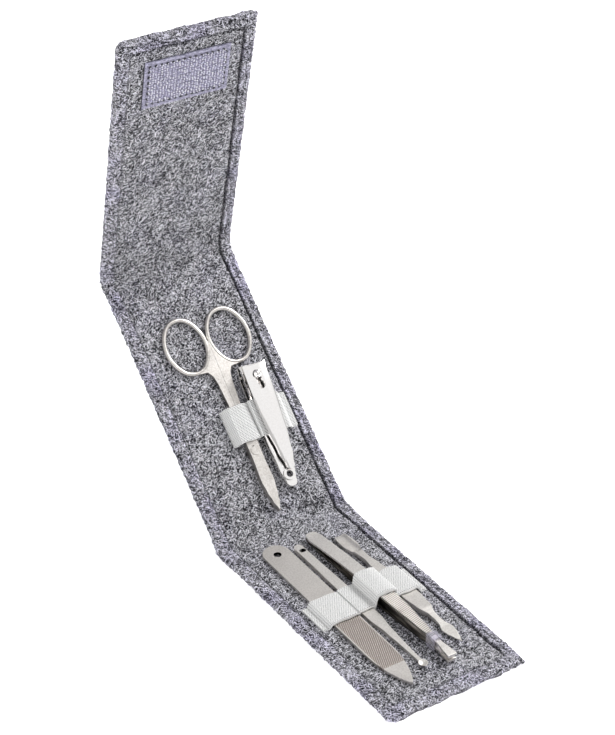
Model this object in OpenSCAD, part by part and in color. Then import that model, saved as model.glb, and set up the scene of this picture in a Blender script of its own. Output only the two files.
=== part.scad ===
// Folding felt manicure case, open, with its tools held under two elastic bands.
// The case is one long strip in three panels. The lower panel lies flat, the middle panel
// leans back behind it and the flap stands up at the top.
// The origin is the middle of the lower panel's underside. +Y runs back, +Z up.

/* [Case] */
// Width of the felt strip
case_w = 62; // [60:1:80]
// Length of the lower panel, from its free end to the lower crease
lower_len = 120; // [112:1:150]
// Length of the middle panel, from crease to crease
middle_len = 125; // [118:1:155]
// Length of the flap, from the upper crease to its free end
flap_len = 118.5; // [100:0.5:150]
// Bend of the felt at the lower crease, in degrees
lower_bend = 42; // [20:1:60]
// Bend of the felt at the upper crease, in degrees
upper_bend = 61; // [30:1:80]
// Thickness of the outer felt
outer_t = 1.6; // [1.2:0.1:2.4]
// Thickness of the lining felt
lining_t = 1.6; // [1.2:0.1:2.4]
// Width of the outer felt's edge that is turned over the lining
hem_w = 5.4; // [4:0.1:7]
// Groove between the turned edge and the lining
hem_gap = 0.4; // [0.2:0.1:0.8]
// Corner radius at the free ends
corner_r = 2.2; // [1:0.1:5]
// Part of the lower fold strip that lies on the lower panel's side
lower_fold_front = 9; // [7:0.5:10]
// Part of the lower fold strip that lies on the middle panel's side
lower_fold_back = 6.4; // [4:0.1:7]
// Part of the upper fold strip that lies on the middle panel's side
upper_fold_front = 5; // [3:0.5:8]
// Part of the upper fold strip that lies on the flap's side
upper_fold_back = 21.1; // [18:0.1:26]

// How much wider than shown each seam of a fold can open, in degrees
extra_open = 8; // [2:1:12]

/* [Hook and loop] */
// Width of both patches, across the case
patch_w = 38.6; // [30:0.1:44]
// Length of both patches, along the case
patch_len = 21.5; // [15:0.5:28]
// Thickness of the hook patch
hook_t = 1.2; // [0.8:0.1:1.6]
// Thickness of the loop patch, set flush into the outer felt
loop_t = 0.9; // [0.6:0.1:1.1]
// Distance of the hook patch from the flap's free end
hook_inset = 10.9; // [8:0.1:20]
// Distance of the loop patch from the lower panel's free end
loop_inset = 62; // [61.5:0.5:75]

/* [Elastic] */
// Width of both elastic bands, along the case
elastic_w = 16; // [12:0.5:20]
// Thickness of the elastic
elastic_t = 0.7; // [0.5:0.1:1]
// Near edge of the lower band, from the lower panel's free end
lower_band_at = 53.3; // [48:0.5:60]
// Near edge of the middle band, from the lower crease
middle_band_at = 39; // [38:0.5:42]
// Room left between a tool and the elastic round it
elastic_gap = 0.3; // [0.2:0.05:0.5]
// Length of each band's sewn end
elastic_end = 2.4; // [2:0.1:5]

/* [Tools on the lower panel] */
// Height of a tool above the lining
tool_lift = 0.3; // [0.2:0.05:0.6]
// Middle of the row of tools, across the case
row_x = -0.1; // [-1:0.1:2]
// Width of the nail file
file_w = 11.4; // [9:0.1:13]
// Length of the nail file
file_len = 99; // [85:1:102]
// Thickness of the nail file
file_t = 1.2; // [0.8:0.1:1.5]
// Radius of the hole in the nail file's end
file_hole_r = 1.6; // [1:0.1:2.2]
// Width of the ear pick's handle at its widest
pick_w = 5.4; // [4:0.1:7]
// Length of the ear pick
pick_len = 88; // [75:1:92]
// Thickness of the ear pick's handle
pick_t = 1.8; // [1:0.1:2.2]
// Width of the tweezers' arms
tweezers_w = 6.4; // [5:0.1:8]
// Length of the tweezers
tweezers_len = 94; // [80:1:98]
// Thickness of one tweezers arm
tweezers_t = 1; // [0.7:0.1:1.2]
// How far the upper tweezers arm bows up
tweezers_bow = 2.5; // [1.5:0.1:3.2]
// Width of the cuticle pusher at its widest
pusher_w = 7.2; // [6:0.1:9]
// Length of the cuticle pusher
pusher_len = 80; // [70:1:88]
// Thickness of the cuticle pusher's grip
pusher_t = 2.3; // [1.4:0.1:2.8]
// Gaps in the row: file to pick, pick to tweezers, tweezers to pusher
row_gaps = [1.1, 3.2, 3.3];

/* [Scissors] */
// Distance of the scissors' tip from the lower crease
scissors_at = 8; // [7.9:0.1:12]
// Scissors' axis, across the case
scissors_x = 0.6; // [-2:0.1:2]
// Length of the blades, from the rivet to the tip
blade_len = 26.8; // [22:0.2:28]
// Width of the closed shanks
blade_w = 5.2; // [5:0.1:7]
// Thickness of one blade
blade_t = 1.4; // [1:0.1:1.6]
// Distance from the rivet to the middle of the finger rings
ring_at = 50.6; // [46:0.1:54]
// Half length of a finger ring's wire path
ring_a = 12.1; // [10:0.1:13]
// Half width of a finger ring's wire path
ring_b = 9.15; // [8:0.05:10]
// Radius of the finger ring's end arcs
ring_end_r = 7.4; // [6:0.1:8]
// Thickness of the finger ring's wire
ring_d = 1.8; // [1.6:0.1:2.4]
// Radius of the scissors' rivet
rivet_r = 1.9; // [1.4:0.1:2.2]

/* [Nail clipper] */
// Length of the clipper's arms
clipper_len = 54; // [48:1:56]
// Width of the clipper's jaws
clipper_w = 10.8; // [9:0.1:12]
// Distance of the clipper's tail from the lower crease
clipper_at = 15.4; // [15:0.1:18]
// Gap between the scissors' shanks and the clipper, at the band
clipper_gap = 3.55; // [3.3:0.05:4]
// Lean of the clipper towards the right, in degrees
clipper_lean = 3.4; // [0:0.1:4]
// Turn of the lever from the arms, in degrees
lever_turn = 1.7; // [0:0.1:3]
// Thickness of one clipper arm
arm_t = 1.15; // [0.9:0.05:1.4]
// Slope of the upper arm, in degrees
arm_slope = 4; // [3:0.1:5]
// Distance of the post from the jaws' edge
post_back = 5.4; // [5:0.1:7]
// Radius of the post
post_r = 1.5; // [1.2:0.1:1.8]
// Length of the lever
lever_len = 46.6; // [42:0.2:47]
// Thickness of the lever
lever_t = 1; // [0.8:0.1:1.2]
// Radius of the tail eyelet's hole
eyelet_r = 1.45; // [1:0.05:1.8]

/* [Hidden] */
$fn = 64;

felt_t = outer_t + lining_t;
lining_w = case_w - 2 * (hem_w + hem_gap);
cut_gap = 0.05;
fit = 0.1;
squeeze_fit = 0.3;
past = 1;

// Distance of a fold strip's seam from the crease, measured on the outer face
function seam(leg, bend) = leg + felt_t * tan(bend / 2);
lower_seam_front = seam(lower_fold_front, lower_bend);
lower_seam_back = seam(lower_fold_back, lower_bend);
upper_seam_front = seam(upper_fold_front, upper_bend);
upper_seam_back = seam(upper_fold_back, upper_bend);

// The row of tools on the lower panel, from left to right
row_w = file_w + pick_w + tweezers_w + pusher_w + row_gaps[0] + row_gaps[1] + row_gaps[2];
file_x = row_x - row_w / 2 + file_w / 2;
pick_x = file_x + file_w / 2 + row_gaps[0] + pick_w / 2;
tweezers_x = pick_x + pick_w / 2 + row_gaps[1] + tweezers_w / 2;
pusher_x = tweezers_x + tweezers_w / 2 + row_gaps[2] + pusher_w / 2;
row_top = lower_len - lower_seam_front;
file_at = row_top - 0.6 - file_len;
pick_at = row_top - 6.3 - pick_len;
tweezers_at = row_top - 3.3 - tweezers_len;
pusher_at = row_top - 9.6 - pusher_len;
pick_lean = 0.4;
tweezers_lean = 1.2;
pusher_lean = 1.5;

// The tweezers' arms: both leave the joined end together and nearly meet again at the tips
tip_gap = 1.2;
lower_dip = 0.7;
head_len = 12;
function arm_lower(t) = tool_lift + lower_dip * (1 - sin(180 * t));
function arm_upper(t) = tool_lift + lower_dip + tweezers_t + tip_gap * t + tweezers_bow * sin(180 * t);
tweezers_top = arm_upper(0.5) + tweezers_t;
sleeve_from = 9;
sleeve_len = 4.6;
sleeve_wall = 0.5;

// The scissors, drawn with the rivet at their own origin and the rings at +Y
rivet_at = scissors_at + blade_len;
blades_top = tool_lift + 2 * blade_t + cut_gap;
scissors_lean = -1.3;
ring_x = ring_b + ring_d / 2 + 0.1;
ring_c = ring_a - ring_end_r;
ring_k = (pow(ring_c, 2) - pow(ring_b - ring_end_r, 2)) / (2 * (ring_b - ring_end_r));
ring_side_r = ring_b + ring_k;
ring_turn = atan2(ring_c, ring_k);
rivet_proud = 0.25;

// The clipper, drawn with its tail at its own origin and the jaws at +Y
clipper_lift = 0.9;
arms_meet = clipper_lift + arm_t;
clamp_len = 9.5;
jaw_len = 4;
arm_rise = (clipper_len - jaw_len - clamp_len) * tan(arm_slope);
post_at = clipper_len - post_back;
upper_top_at_post = arms_meet + arm_t + (post_at - clamp_len) * tan(arm_slope);
lever_slope = arm_slope + 0.6;
lever_arch = 0.5;
lever_under = upper_top_at_post + 2 * elastic_gap + elastic_t;
lever_axis_z = lever_under + lever_arch + lever_t / 2;
lever_head = 4.7;
neck_r = 1.05;
slot_r = 1.35;
dome_r = 1.75;
dome_gap = 0.5;
tail_hole_at = 5.3;
eyelet_wall = 0.65;
clipper_band_mid = middle_band_at + elastic_w / 2;
clipper_x = scissors_x + blade_w / 2 + clipper_gap + clipper_w / 2
    - (clipper_band_mid - clipper_at) * tan(clipper_lean) - 0.2;

// Places of the panels: x across, y along the panel, z up from its outer face
module lower_frame() { translate([0, -lower_len / 2, 0]) children(); }
module middle_frame() { translate([0, lower_len / 2, 0]) rotate([lower_bend, 0, 0]) children(); }
module flap_frame() { middle_frame() translate([0, middle_len, 0]) rotate([upper_bend, 0, 0]) children(); }
module on_lower(x, y, lean = 0) {
    lower_frame() translate([x, y, felt_t]) rotate([0, 0, lean]) children();
}
module on_middle(x, y, lean = 0) {
    middle_frame() translate([x, y, felt_t]) rotate([0, 0, lean]) children();
}
// A tool held by the lower band: x is its middle where the band crosses it
module on_lower_held(x, y, lean) {
    on_lower(x + (lower_band_at + elastic_w / 2 - y) * tan(lean), y, lean) children();
}
module on_scissors() { on_middle(scissors_x, rivet_at, scissors_lean) children(); }
module on_clipper() { on_middle(clipper_x, clipper_at, -clipper_lean) children(); }
module on_lever() {
    on_clipper() translate([0, post_at, lever_axis_z]) rotate([0, 0, lever_turn])
        rotate([lever_slope, 0, 0]) children();
}

// Smooth steps between the rows of a table of [place, value]
function eased(t) = (1 - cos(180 * t)) / 2;
function between(v, table, i = 0) =
    v <= table[0][0] ? table[0][1]
    : i >= len(table) - 1 ? table[i][1]
    : v <= table[i + 1][0]
        ? table[i][1] + (table[i + 1][1] - table[i][1])
            * eased((v - table[i][0]) / (table[i + 1][0] - table[i][0]))
    : between(v, table, i + 1);

// A long thin outline, given its half width along Y
module blade_outline(table, steps) {
    last = table[len(table) - 1][0];
    ys = [for (i = [0 : steps]) table[0][0] + (last - table[0][0]) * i / steps];
    polygon(concat([for (y = ys) [between(y, table), y]],
        [for (i = [steps : -1 : 0]) [-between(ys[i], table), ys[i]]]));
}

// A profile in the side plane, y and z, drawn across the width
module across(w) { rotate([90, 0, 90]) translate([0, 0, -w / 2]) linear_extrude(w) children(); }

// Cuts a square corner of a sheet round. The corner is at the origin, the sheet in +X +Y
module round_corner(r, t) {
    difference() {
        translate([-past, -past, -past]) cube([r + past, r + past, t + 2 * past]);
        translate([r, r, -2 * past]) cylinder(r = r, h = t + 4 * past);
    }
}

// One panel's outer felt, with its edges turned over the lining at the sides and one end
module outer_panel(from, to, free_end) {
    near = free_end < 0 ? hem_w : -past;
    far = free_end > 0 ? hem_w : -past;
    end_y = free_end < 0 ? from : to;
    difference() {
        translate([-case_w / 2, from, 0]) cube([case_w, to - from, felt_t]);
        translate([-case_w / 2 + hem_w, from + near, outer_t])
            cube([case_w - 2 * hem_w, to - from - near - far, felt_t]);
        if (free_end != 0) for (side = [-1, 1])
            translate([side * case_w / 2, end_y, 0])
                rotate([0, 0, free_end < 0 ? (side < 0 ? 0 : 90) : (side < 0 ? -90 : 180)])
                    round_corner(corner_r, felt_t);
    }
}

// One panel's lining, inside the turned edges
module lining_panel(from, to, free_end) {
    near = free_end < 0 ? hem_w + hem_gap : 0;
    far = free_end > 0 ? hem_w + hem_gap : 0;
    translate([-lining_w / 2, from + near, outer_t]) cube([lining_w, to - from - near - far, lining_t]);
}

// A bent layer of felt between heights z0 and z1, with the crease's outer corner at the origin.
// Its ends slope away from the panels, so the fold can open wider than it is shown
module bent_layer(front, back, bend, z0, z1, w) {
    shift = tan(bend / 2);
    function short(z) = cut_gap + (felt_t - z) * tan(extra_open);
    function up(s, z) = [s * cos(bend) - z * sin(bend), s * sin(bend) + z * cos(bend)];
    across(w) polygon([
        [short(z0) - front, z0], [-z0 * shift, z0], up(back - short(z0), z0),
        up(back - short(z1), z1), [-z1 * shift, z1], [short(z1) - front, z1]
    ]);
}

// The outer felt's bend, with a trough for the lining between its turned edges
module fold_outer(front, back, bend) {
    difference() {
        bent_layer(front, back, bend, 0, felt_t, case_w);
        bent_layer(front + past, back + past, bend, outer_t, felt_t + past, case_w - 2 * hem_w);
    }
}

module fold_lining(front, back, bend) {
    bent_layer(front, back, bend, outer_t, felt_t, lining_w);
}

module lower_panel_outer() {
    color("#8c8b93") lower_frame() difference() {
        outer_panel(0, lower_len - lower_seam_front - cut_gap, -1);
        translate([-patch_w / 2, loop_inset, -past]) cube([patch_w, patch_len, loop_t + past]);
    }
}
module lower_panel_lining() {
    color("#7f7e86") lower_frame() lining_panel(0, lower_len - lower_seam_front - cut_gap, -1);
}
module lower_fold_outer() {
    color("#8c8b93") translate([0, lower_len / 2, 0])
        fold_outer(lower_seam_front, lower_seam_back, lower_bend);
}
module lower_fold_lining() {
    color("#7f7e86") translate([0, lower_len / 2, 0])
        fold_lining(lower_seam_front, lower_seam_back, lower_bend);
}
module middle_panel_outer() {
    color("#8c8b93") middle_frame()
        outer_panel(lower_seam_back + cut_gap, middle_len - upper_seam_front - cut_gap, 0);
}
module middle_panel_lining() {
    color("#7f7e86") middle_frame()
        lining_panel(lower_seam_back + cut_gap, middle_len - upper_seam_front - cut_gap, 0);
}
module upper_fold_outer() {
    color("#8c8b93") middle_frame() translate([0, middle_len, 0])
        fold_outer(upper_seam_front, upper_seam_back, upper_bend);
}
module upper_fold_lining() {
    color("#7f7e86") middle_frame() translate([0, middle_len, 0])
        fold_lining(upper_seam_front, upper_seam_back, upper_bend);
}
module flap_outer() {
    color("#8c8b93") flap_frame() outer_panel(upper_seam_back + cut_gap, flap_len, 1);
}
module flap_lining() {
    color("#7f7e86") flap_frame() lining_panel(upper_seam_back + cut_gap, flap_len, 1);
}
module hook_patch() {
    color("#a9a8c4") flap_frame() translate([-patch_w / 2, flap_len - hook_inset - patch_len, felt_t])
        cube([patch_w, patch_len, hook_t]);
}
module loop_patch() {
    color("#a9a8c4") lower_frame() translate([-patch_w / 2, loop_inset, 0])
        cube([patch_w, patch_len, loop_t]);
}

// An elastic band: a strip that climbs over its tools and is sewn down between them.
// Each pocket is [left foot, left top, right top, right foot, height at the near edge, at the far edge]
function hump(x, p, far) =
    let (h = far ? p[5] : p[4])
    x <= p[0] || x >= p[3] ? 0
    : x < p[1] ? h * eased((x - p[0]) / (p[1] - p[0]))
    : x > p[2] ? h * eased((p[3] - x) / (p[3] - p[2]))
    : h;
function wrapped(p) = let (t = elastic_t) [p[0] - t, p[1] - t, p[2] + t, p[3] + t, p[4] + t, p[5] + t];
function inside(x, pockets, far) = max([for (p = pockets) hump(x, p, far)]);
function outside(x, pockets, far) = max(elastic_t, max([for (p = pockets) hump(x, wrapped(p), far)]));

module elastic_band(x0, x1, from, pockets, step = 0.25) {
    n = ceil((x1 - x0) / step);
    xs = [for (i = [0 : n]) x0 + (x1 - x0) * i / n];
    m = n + 1;
    // Four rows of points: under and over at the near edge, then at the far edge
    points = [for (far = [false, true]) for (over = [false, true]) for (x = xs)
        [x, from + (far ? elastic_w : 0), over ? outside(x, pockets, far) : inside(x, pockets, far)]];
    // Two triangles between neighbouring points of rows a and b
    function strip(a, b) = [for (i = [0 : n - 1]) for (f = [
        [a * m + i, a * m + i + 1, b * m + i + 1], [a * m + i, b * m + i + 1, b * m + i]]) f];
    function cap(i) = [[i, m + i, 3 * m + i], [i, 3 * m + i, 2 * m + i]];
    function turned(faces) = [for (f = faces) [f[2], f[1], f[0]]];
    polyhedron(points, concat(
        strip(1, 0), strip(0, 2), strip(2, 3), strip(3, 1), turned(cap(0)), cap(n)));
}

// The lower band's pockets. Each has its tool's middle, width and top, and how far its feet spread
function pocket(x, w, top, left, right) = [
    x - w / 2 - elastic_gap - left, x - w / 2 - elastic_gap,
    x + w / 2 + elastic_gap, x + w / 2 + elastic_gap + right, top + elastic_gap, top + elastic_gap
];
lower_pockets = [
    pocket(file_x, file_w, tool_lift + file_t, 2.2, 0.5),
    pocket(pick_x, pick_w, tool_lift + pick_t, 0.5, 0.5),
    pocket(tweezers_x, tweezers_w + 0.4, tweezers_top, 0.7, 0.8),
    pocket(pusher_x, pusher_w + 0.4, tool_lift + pusher_t, 0.5, 2.6)
];
module lower_elastic() {
    color("#eeeeea") on_lower(0, 0) elastic_band(lower_pockets[0][0] - elastic_end,
        lower_pockets[3][3] + elastic_end, lower_band_at, lower_pockets);
}

// The middle band goes over the scissors' shanks and between the clipper's arms and its lever
function arms_top(y) = arms_meet + arm_t + max(0, y - clipper_at - clamp_len) * tan(arm_slope);
scissors_open = 3;
shank_swing = (middle_band_at + elastic_w - rivet_at) * sin(scissors_open);
clipper_left = scissors_x + blade_w / 2 + clipper_gap;
clipper_right = clipper_left + clipper_w;
scissors_room = blades_top + rivet_proud + elastic_gap;
middle_pockets = [
    [scissors_x - blade_w / 2 - shank_swing - elastic_gap - 0.7, scissors_x - blade_w / 2 - shank_swing - elastic_gap,
        scissors_x + blade_w / 2 + elastic_gap + 0.6, scissors_x + blade_w / 2 + elastic_gap + 1.2,
        scissors_room, scissors_room],
    [clipper_left - 1.1, clipper_left - elastic_gap - 0.2, clipper_right + elastic_gap + 0.2, clipper_right + 5,
        arms_top(middle_band_at) + elastic_gap, arms_top(middle_band_at + elastic_w) + elastic_gap]
];
module middle_elastic() {
    color("#eeeeea") on_middle(0, 0) elastic_band(middle_pockets[0][0] - elastic_end,
        middle_pockets[1][3] + elastic_end, middle_band_at, middle_pockets);
}

// Nail file: a flat blade with a round end, a hole and a leaf point
file_point = 22;
module nail_file() {
    r = file_w / 2;
    color("#bdb8b2") on_lower_held(file_x, file_at, 0) translate([0, 0, tool_lift])
        difference() {
            union() {
                linear_extrude(file_t) blade_outline([for (i = [0 : 12])
                    let (t = i / 12) [file_point * t, r * sin(90 * pow(t, 0.8)) + 0.001]], 48);
                translate([-r, file_point, 0]) cube([file_w, file_len - file_point - r, file_t]);
                translate([0, file_len - r, 0]) cylinder(r = r, h = file_t);
            }
            translate([0, file_len - r - 0.6, -past]) cylinder(r = file_hole_r, h = file_t + 2 * past);
        }
}

// Ear pick: a flat handle that narrows to a thin neck with a small scoop
pick_hole_r = 1.1;
scoop_r = 1.9;
module ear_pick() {
    end_r = pick_w * 0.35;
    handle_at = pick_len - end_r;
    color("#bdb8b2") on_lower_held(pick_x, pick_at, pick_lean) translate([0, 0, tool_lift]) difference() {
        union() {
            intersection() {
                linear_extrude(pick_t) blade_outline([
                    [2.4, 0.8], [7, 0.8], [16, 1.15], [23, 1.6], [34, pick_w / 2], [44, pick_w / 2],
                    [58, pick_w * 0.42], [74, end_r + 0.05], [handle_at, end_r]], 60);
                across(pick_w + 2) polygon([
                    [2, 0.2], [8, 0], [pick_len, 0], [pick_len, pick_t], [34, pick_t], [6, 1.1], [2, 1.1]]);
            }
            translate([0, handle_at, 0]) cylinder(r = end_r, h = pick_t);
            translate([0, scoop_r, 0]) cylinder(r1 = scoop_r * 0.7, r2 = scoop_r, h = 1.2);
        }
        translate([0, scoop_r, 2.6]) sphere(r = 2.2);
        translate([0, pick_len - 4.4, -past]) cylinder(r = pick_hole_r, h = pick_t + 2 * past);
    }
}

// Tweezers: two bowed arms, joined at the head, that narrow to a neck and flared tips
module tweezers_plan(h) {
    half = tweezers_w / 2;
    linear_extrude(h) blade_outline([
        [0, 1.95], [3, 1.7], [8, 1.1], [13, 1.25], [20, 2.0], [34, half * 0.92], [42, half],
        [58, half * 0.9], [76, half * 0.94], [tweezers_len - 4, half],
        [tweezers_len - 1, half * 0.8], [tweezers_len, half * 0.5]], 94);
}
module tweezers_side(upper, steps = 28) {
    reach = tweezers_len - 3;
    function at(y) = 1 - y / reach;
    function low(y) = upper ? arm_upper(max(at(y), 0)) : arm_lower(max(at(y), 0));
    ys = [for (i = [0 : steps]) (tweezers_len + 1) * i / steps];
    across(tweezers_w + 4) polygon(concat([for (y = ys) [y, low(y)]],
        [for (i = [steps : -1 : 0]) [ys[i], low(ys[i]) + tweezers_t]]));
}
module tweezers_lower_arm() {
    color("#bdb8b2") on_lower_held(tweezers_x, tweezers_at, tweezers_lean) intersection() {
        tweezers_plan(12);
        tweezers_side(false);
    }
}
module tweezers_upper_arm() {
    color("#c6c1bb") on_lower_held(tweezers_x, tweezers_at, tweezers_lean) intersection() {
        tweezers_plan(12);
        translate([0, 0, cut_gap]) tweezers_side(true);
    }
}

// Clear guard sleeve round both tips of the tweezers
module tweezers_tip_sleeve() {
    t0 = 1 - sleeve_from / (tweezers_len - 3);
    t1 = 1 - (sleeve_from + sleeve_len) / (tweezers_len - 3);
    low = min(arm_lower(t0), arm_lower(t1)) - 0.12;
    high = max(arm_upper(t0), arm_upper(t1)) + tweezers_t + 0.25;
    inner_w = 3.2;
    wall = sleeve_wall;
    module ring_profile(grow) {
        translate([-inner_w / 2 - grow, low - grow * 0.5]) square([inner_w + 2 * grow, high - low + grow * 1.5]);
    }
    color([0.78, 0.76, 0.92, 0.6]) on_lower_held(tweezers_x, tweezers_at, tweezers_lean)
        translate([0, sleeve_from + sleeve_len, 0]) rotate([90, 0, 0]) linear_extrude(sleeve_len)
            difference() {
                ring_profile(wall);
                ring_profile(0);
            }
}

// Cuticle pusher: a leaf blade, a slim neck, a wide grip, another neck and a dished scoop
module cuticle_pusher() {
    grip = pusher_w / 2;
    scoop_at = pusher_len - 11;
    scoop_z = 1.5;
    dish_r = 4.6;
    dish_depth = 0.7;
    color("#bdb8b2") on_lower_held(pusher_x, pusher_at, pusher_lean) translate([0, 0, tool_lift]) difference() {
        intersection() {
            linear_extrude(6) blade_outline([
                [0, 0.15], [3, 1.3], [6, 2.2], [8.5, 2.55], [12.5, 1.3], [15, 1.1], [18, 1.3], [24, grip * 0.8],
                [31, grip * 0.98], [36, grip], [46, grip * 0.88], [55, 2.0], [61, 1.35], [65, 1.6],
                [72, 3.2], [76, 3.1], [pusher_len - 0.8, 2.6], [pusher_len, 2.1]], 100);
            across(pusher_w + 2) polygon([
                [0, 0.5], [20, 0], [60, 0], [pusher_len, 0.3], [pusher_len, scoop_z],
                [72, scoop_z], [58, pusher_t], [22, pusher_t], [10, 1.1], [0, 0.8]]);
        }
        translate([0, scoop_at, scoop_z + dish_r - dish_depth]) {
            sphere(r = dish_r);
            rotate([-90, 0, 0]) cylinder(r = dish_r, h = 20);
        }
    }
}

// The middle line of a finger ring is an oval of four arcs. This is its point where it faces angle a
function ring_point(a) =
    abs(cos(a)) > cos(ring_turn)
        ? [(cos(a) > 0 ? -ring_k : ring_k) + ring_side_r * cos(a), ring_side_r * sin(a)]
        : [ring_end_r * cos(a), (sin(a) > 0 ? ring_c : -ring_c) + ring_end_r * sin(a)];

// One finger ring: a round wire led along the oval
module finger_ring(steps = 56, sides = 20) {
    r = ring_d / 2;
    points = [for (i = [0 : steps - 1]) let (a = 360 * (i + 0.5) / steps, p = ring_point(a))
        for (j = [0 : sides - 1]) let (b = 360 * j / sides)
            [p[0] + r * cos(b) * cos(a), p[1] + r * cos(b) * sin(a), r * sin(b)]];
    function at(i, j) = (i % steps) * sides + j % sides;
    polyhedron(points, [for (i = [0 : steps - 1]) for (j = [0 : sides - 1]) for (f = [
        [at(i, j), at(i, j + 1), at(i + 1, j + 1)], [at(i, j), at(i + 1, j + 1), at(i + 1, j)]]) f]);
}
module ring_hole(steps = 56) {
    polygon([for (i = [0 : steps - 1]) ring_point(360 * (i + 0.5) / steps)]);
}

// One half of the scissors: ring, web, shank and blade. side is -1 for the left ring
module scissors_half(side, blade_z) {
    shank = blade_w / 2;
    mid = ring_at - ring_a;
    module web() {
        difference() {
            polygon([
                [side * 0.05, 8], [side * shank, 8], [side * shank, mid - 18], [side * (shank + 0.35), mid - 12],
                [side * (shank + 0.7), mid - 7], [side * (shank + 1.3), mid - 3.5],
                [side * (shank + 3), mid - 1], [side * (ring_x - 1), mid - 0.8],
                [side * (ring_x - 1), mid + 0.8], [side * 2.6, mid + 6], [side * 1.3, mid + 12],
                [side * 0.05, mid + 12]
            ]);
            translate([side * ring_x, ring_at]) ring_hole();
        }
    }
    translate([side * ring_x, ring_at, tool_lift + ring_d / 2]) finger_ring();
    translate([0, 0, tool_lift + 0.2]) linear_extrude(ring_d - 0.4) web();
    difference() {
        translate([0, 0, blade_z]) linear_extrude(blade_t) union() {
            blade_outline([[-blade_len, 0.12], [-blade_len + 4.6, 1.45], [-blade_len + 8.3, 2.25], [-13, 2.85],
                [-4, shank - 0.1], [5, shank]], 52);
            translate([side < 0 ? -shank : 0.05, 4.9]) square([shank - 0.05, 6]);
        }
        translate([0, 0, -past]) cylinder(r = rivet_r * 0.7 + fit, h = 10);
    }
}
module scissors_right_half() {
    color("#c9c4bd") on_scissors() scissors_half(1, tool_lift + blade_t + cut_gap);
}
module scissors_left_half() {
    color("#c1bcb6") on_scissors() scissors_half(-1, tool_lift);
}

// Rivet: a pin with a low head that sits on the upper blade
module scissors_rivet() {
    color("#d2cec8") on_scissors() {
        translate([0, 0, tool_lift]) cylinder(r = rivet_r * 0.7, h = 2 * blade_t + cut_gap + rivet_proud);
        translate([0, 0, blades_top]) cylinder(r = rivet_r, h = rivet_proud);
    }
}

// The clipper's arms share one outline: a narrow round tail that widens to the jaws
module arm_plan(h) {
    wide = clipper_w / 2;
    linear_extrude(h) union() {
        blade_outline([[2.2, 2.4], [8, 3.5], [22, 4.7], [38, wide], [clipper_len, wide]], 40);
        translate([0, 2.45]) circle(r = 2.45);
    }
}
module clipper_lower_arm() {
    edge_z = arms_meet + 1.5;
    color("#d9d9dc") on_clipper() difference() {
        intersection() {
            arm_plan(12);
            across(clipper_w + 2) polygon([
                [-1, clipper_lift], [clipper_len - jaw_len, clipper_lift], [clipper_len, edge_z - 0.6],
                [clipper_len, edge_z], [clipper_len - 1.6, edge_z - 0.3],
                [clipper_len - jaw_len - 1.2, arms_meet], [-1, arms_meet]]);
        }
        translate([0, post_at, -past]) cylinder(r = post_r + fit, h = 8);
        translate([0, tail_hole_at, -past]) cylinder(r = eyelet_r + eyelet_wall + fit, h = 8);
    }
}
module clipper_upper_arm() {
    end_z = arms_meet + arm_rise;
    edge_z = arms_meet + 1.5 + 1.3;
    color("#e2e2e5") on_clipper() difference() {
        intersection() {
            arm_plan(12);
            across(clipper_w + 2) polygon([
                [-1, arms_meet + cut_gap], [clamp_len, arms_meet + cut_gap],
                [clipper_len - jaw_len, end_z], [clipper_len - 1.6, end_z + 0.1],
                [clipper_len, edge_z], [clipper_len, edge_z + 0.5],
                [clipper_len - jaw_len + 1, end_z + arm_t + 0.2], [clipper_len - jaw_len, end_z + arm_t],
                [clamp_len, arms_meet + arm_t], [-1, arms_meet + arm_t]]);
        }
        translate([0, post_at, -past]) cylinder(r = post_r + squeeze_fit, h = 12);
        translate([0, tail_hole_at, -past]) cylinder(r = eyelet_r + eyelet_wall + squeeze_fit, h = 12);
    }
}

// Hollow rivet that joins the two arms at the tail
module clipper_eyelet() {
    lip = 0.5;
    top = arms_meet + arm_t + 0.25;
    color("#cfcfd3") on_clipper() translate([0, tail_hole_at, 0]) difference() {
        union() {
            translate([0, 0, clipper_lift - lip]) cylinder(r = eyelet_r + eyelet_wall + 0.5, h = lip - 0.02);
            translate([0, 0, clipper_lift - lip]) cylinder(r = eyelet_r + eyelet_wall, h = top - clipper_lift + lip);
            translate([0, 0, top]) cylinder(r = eyelet_r + eyelet_wall + 0.5, h = 0.35);
        }
        cylinder(r = eyelet_r, h = 12);
    }
}

// Post: it turns in both arms, and the lever's slot hangs on the groove under its dome
module clipper_post() {
    foot = 0.5;
    slot_z = lever_axis_z + lever_t / 2;
    color("#d9d9dc") on_clipper() translate([0, post_at, 0]) {
        translate([0, 0, clipper_lift - foot]) cylinder(r = post_r + 0.8, h = foot - 0.02);
        translate([0, 0, clipper_lift - foot]) cylinder(r = post_r, h = lever_under - 0.2 - clipper_lift + foot);
        translate([0, 0, lever_under - 0.25]) cylinder(r = neck_r, h = slot_z + dome_gap - lever_under + 0.3);
        translate([0, 0, slot_z + dome_gap]) intersection() {
            translate([0, 0, -dome_r * 0.55]) sphere(r = dome_r * 1.15);
            cylinder(r = dome_r, h = 3);
        }
    }
}

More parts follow.
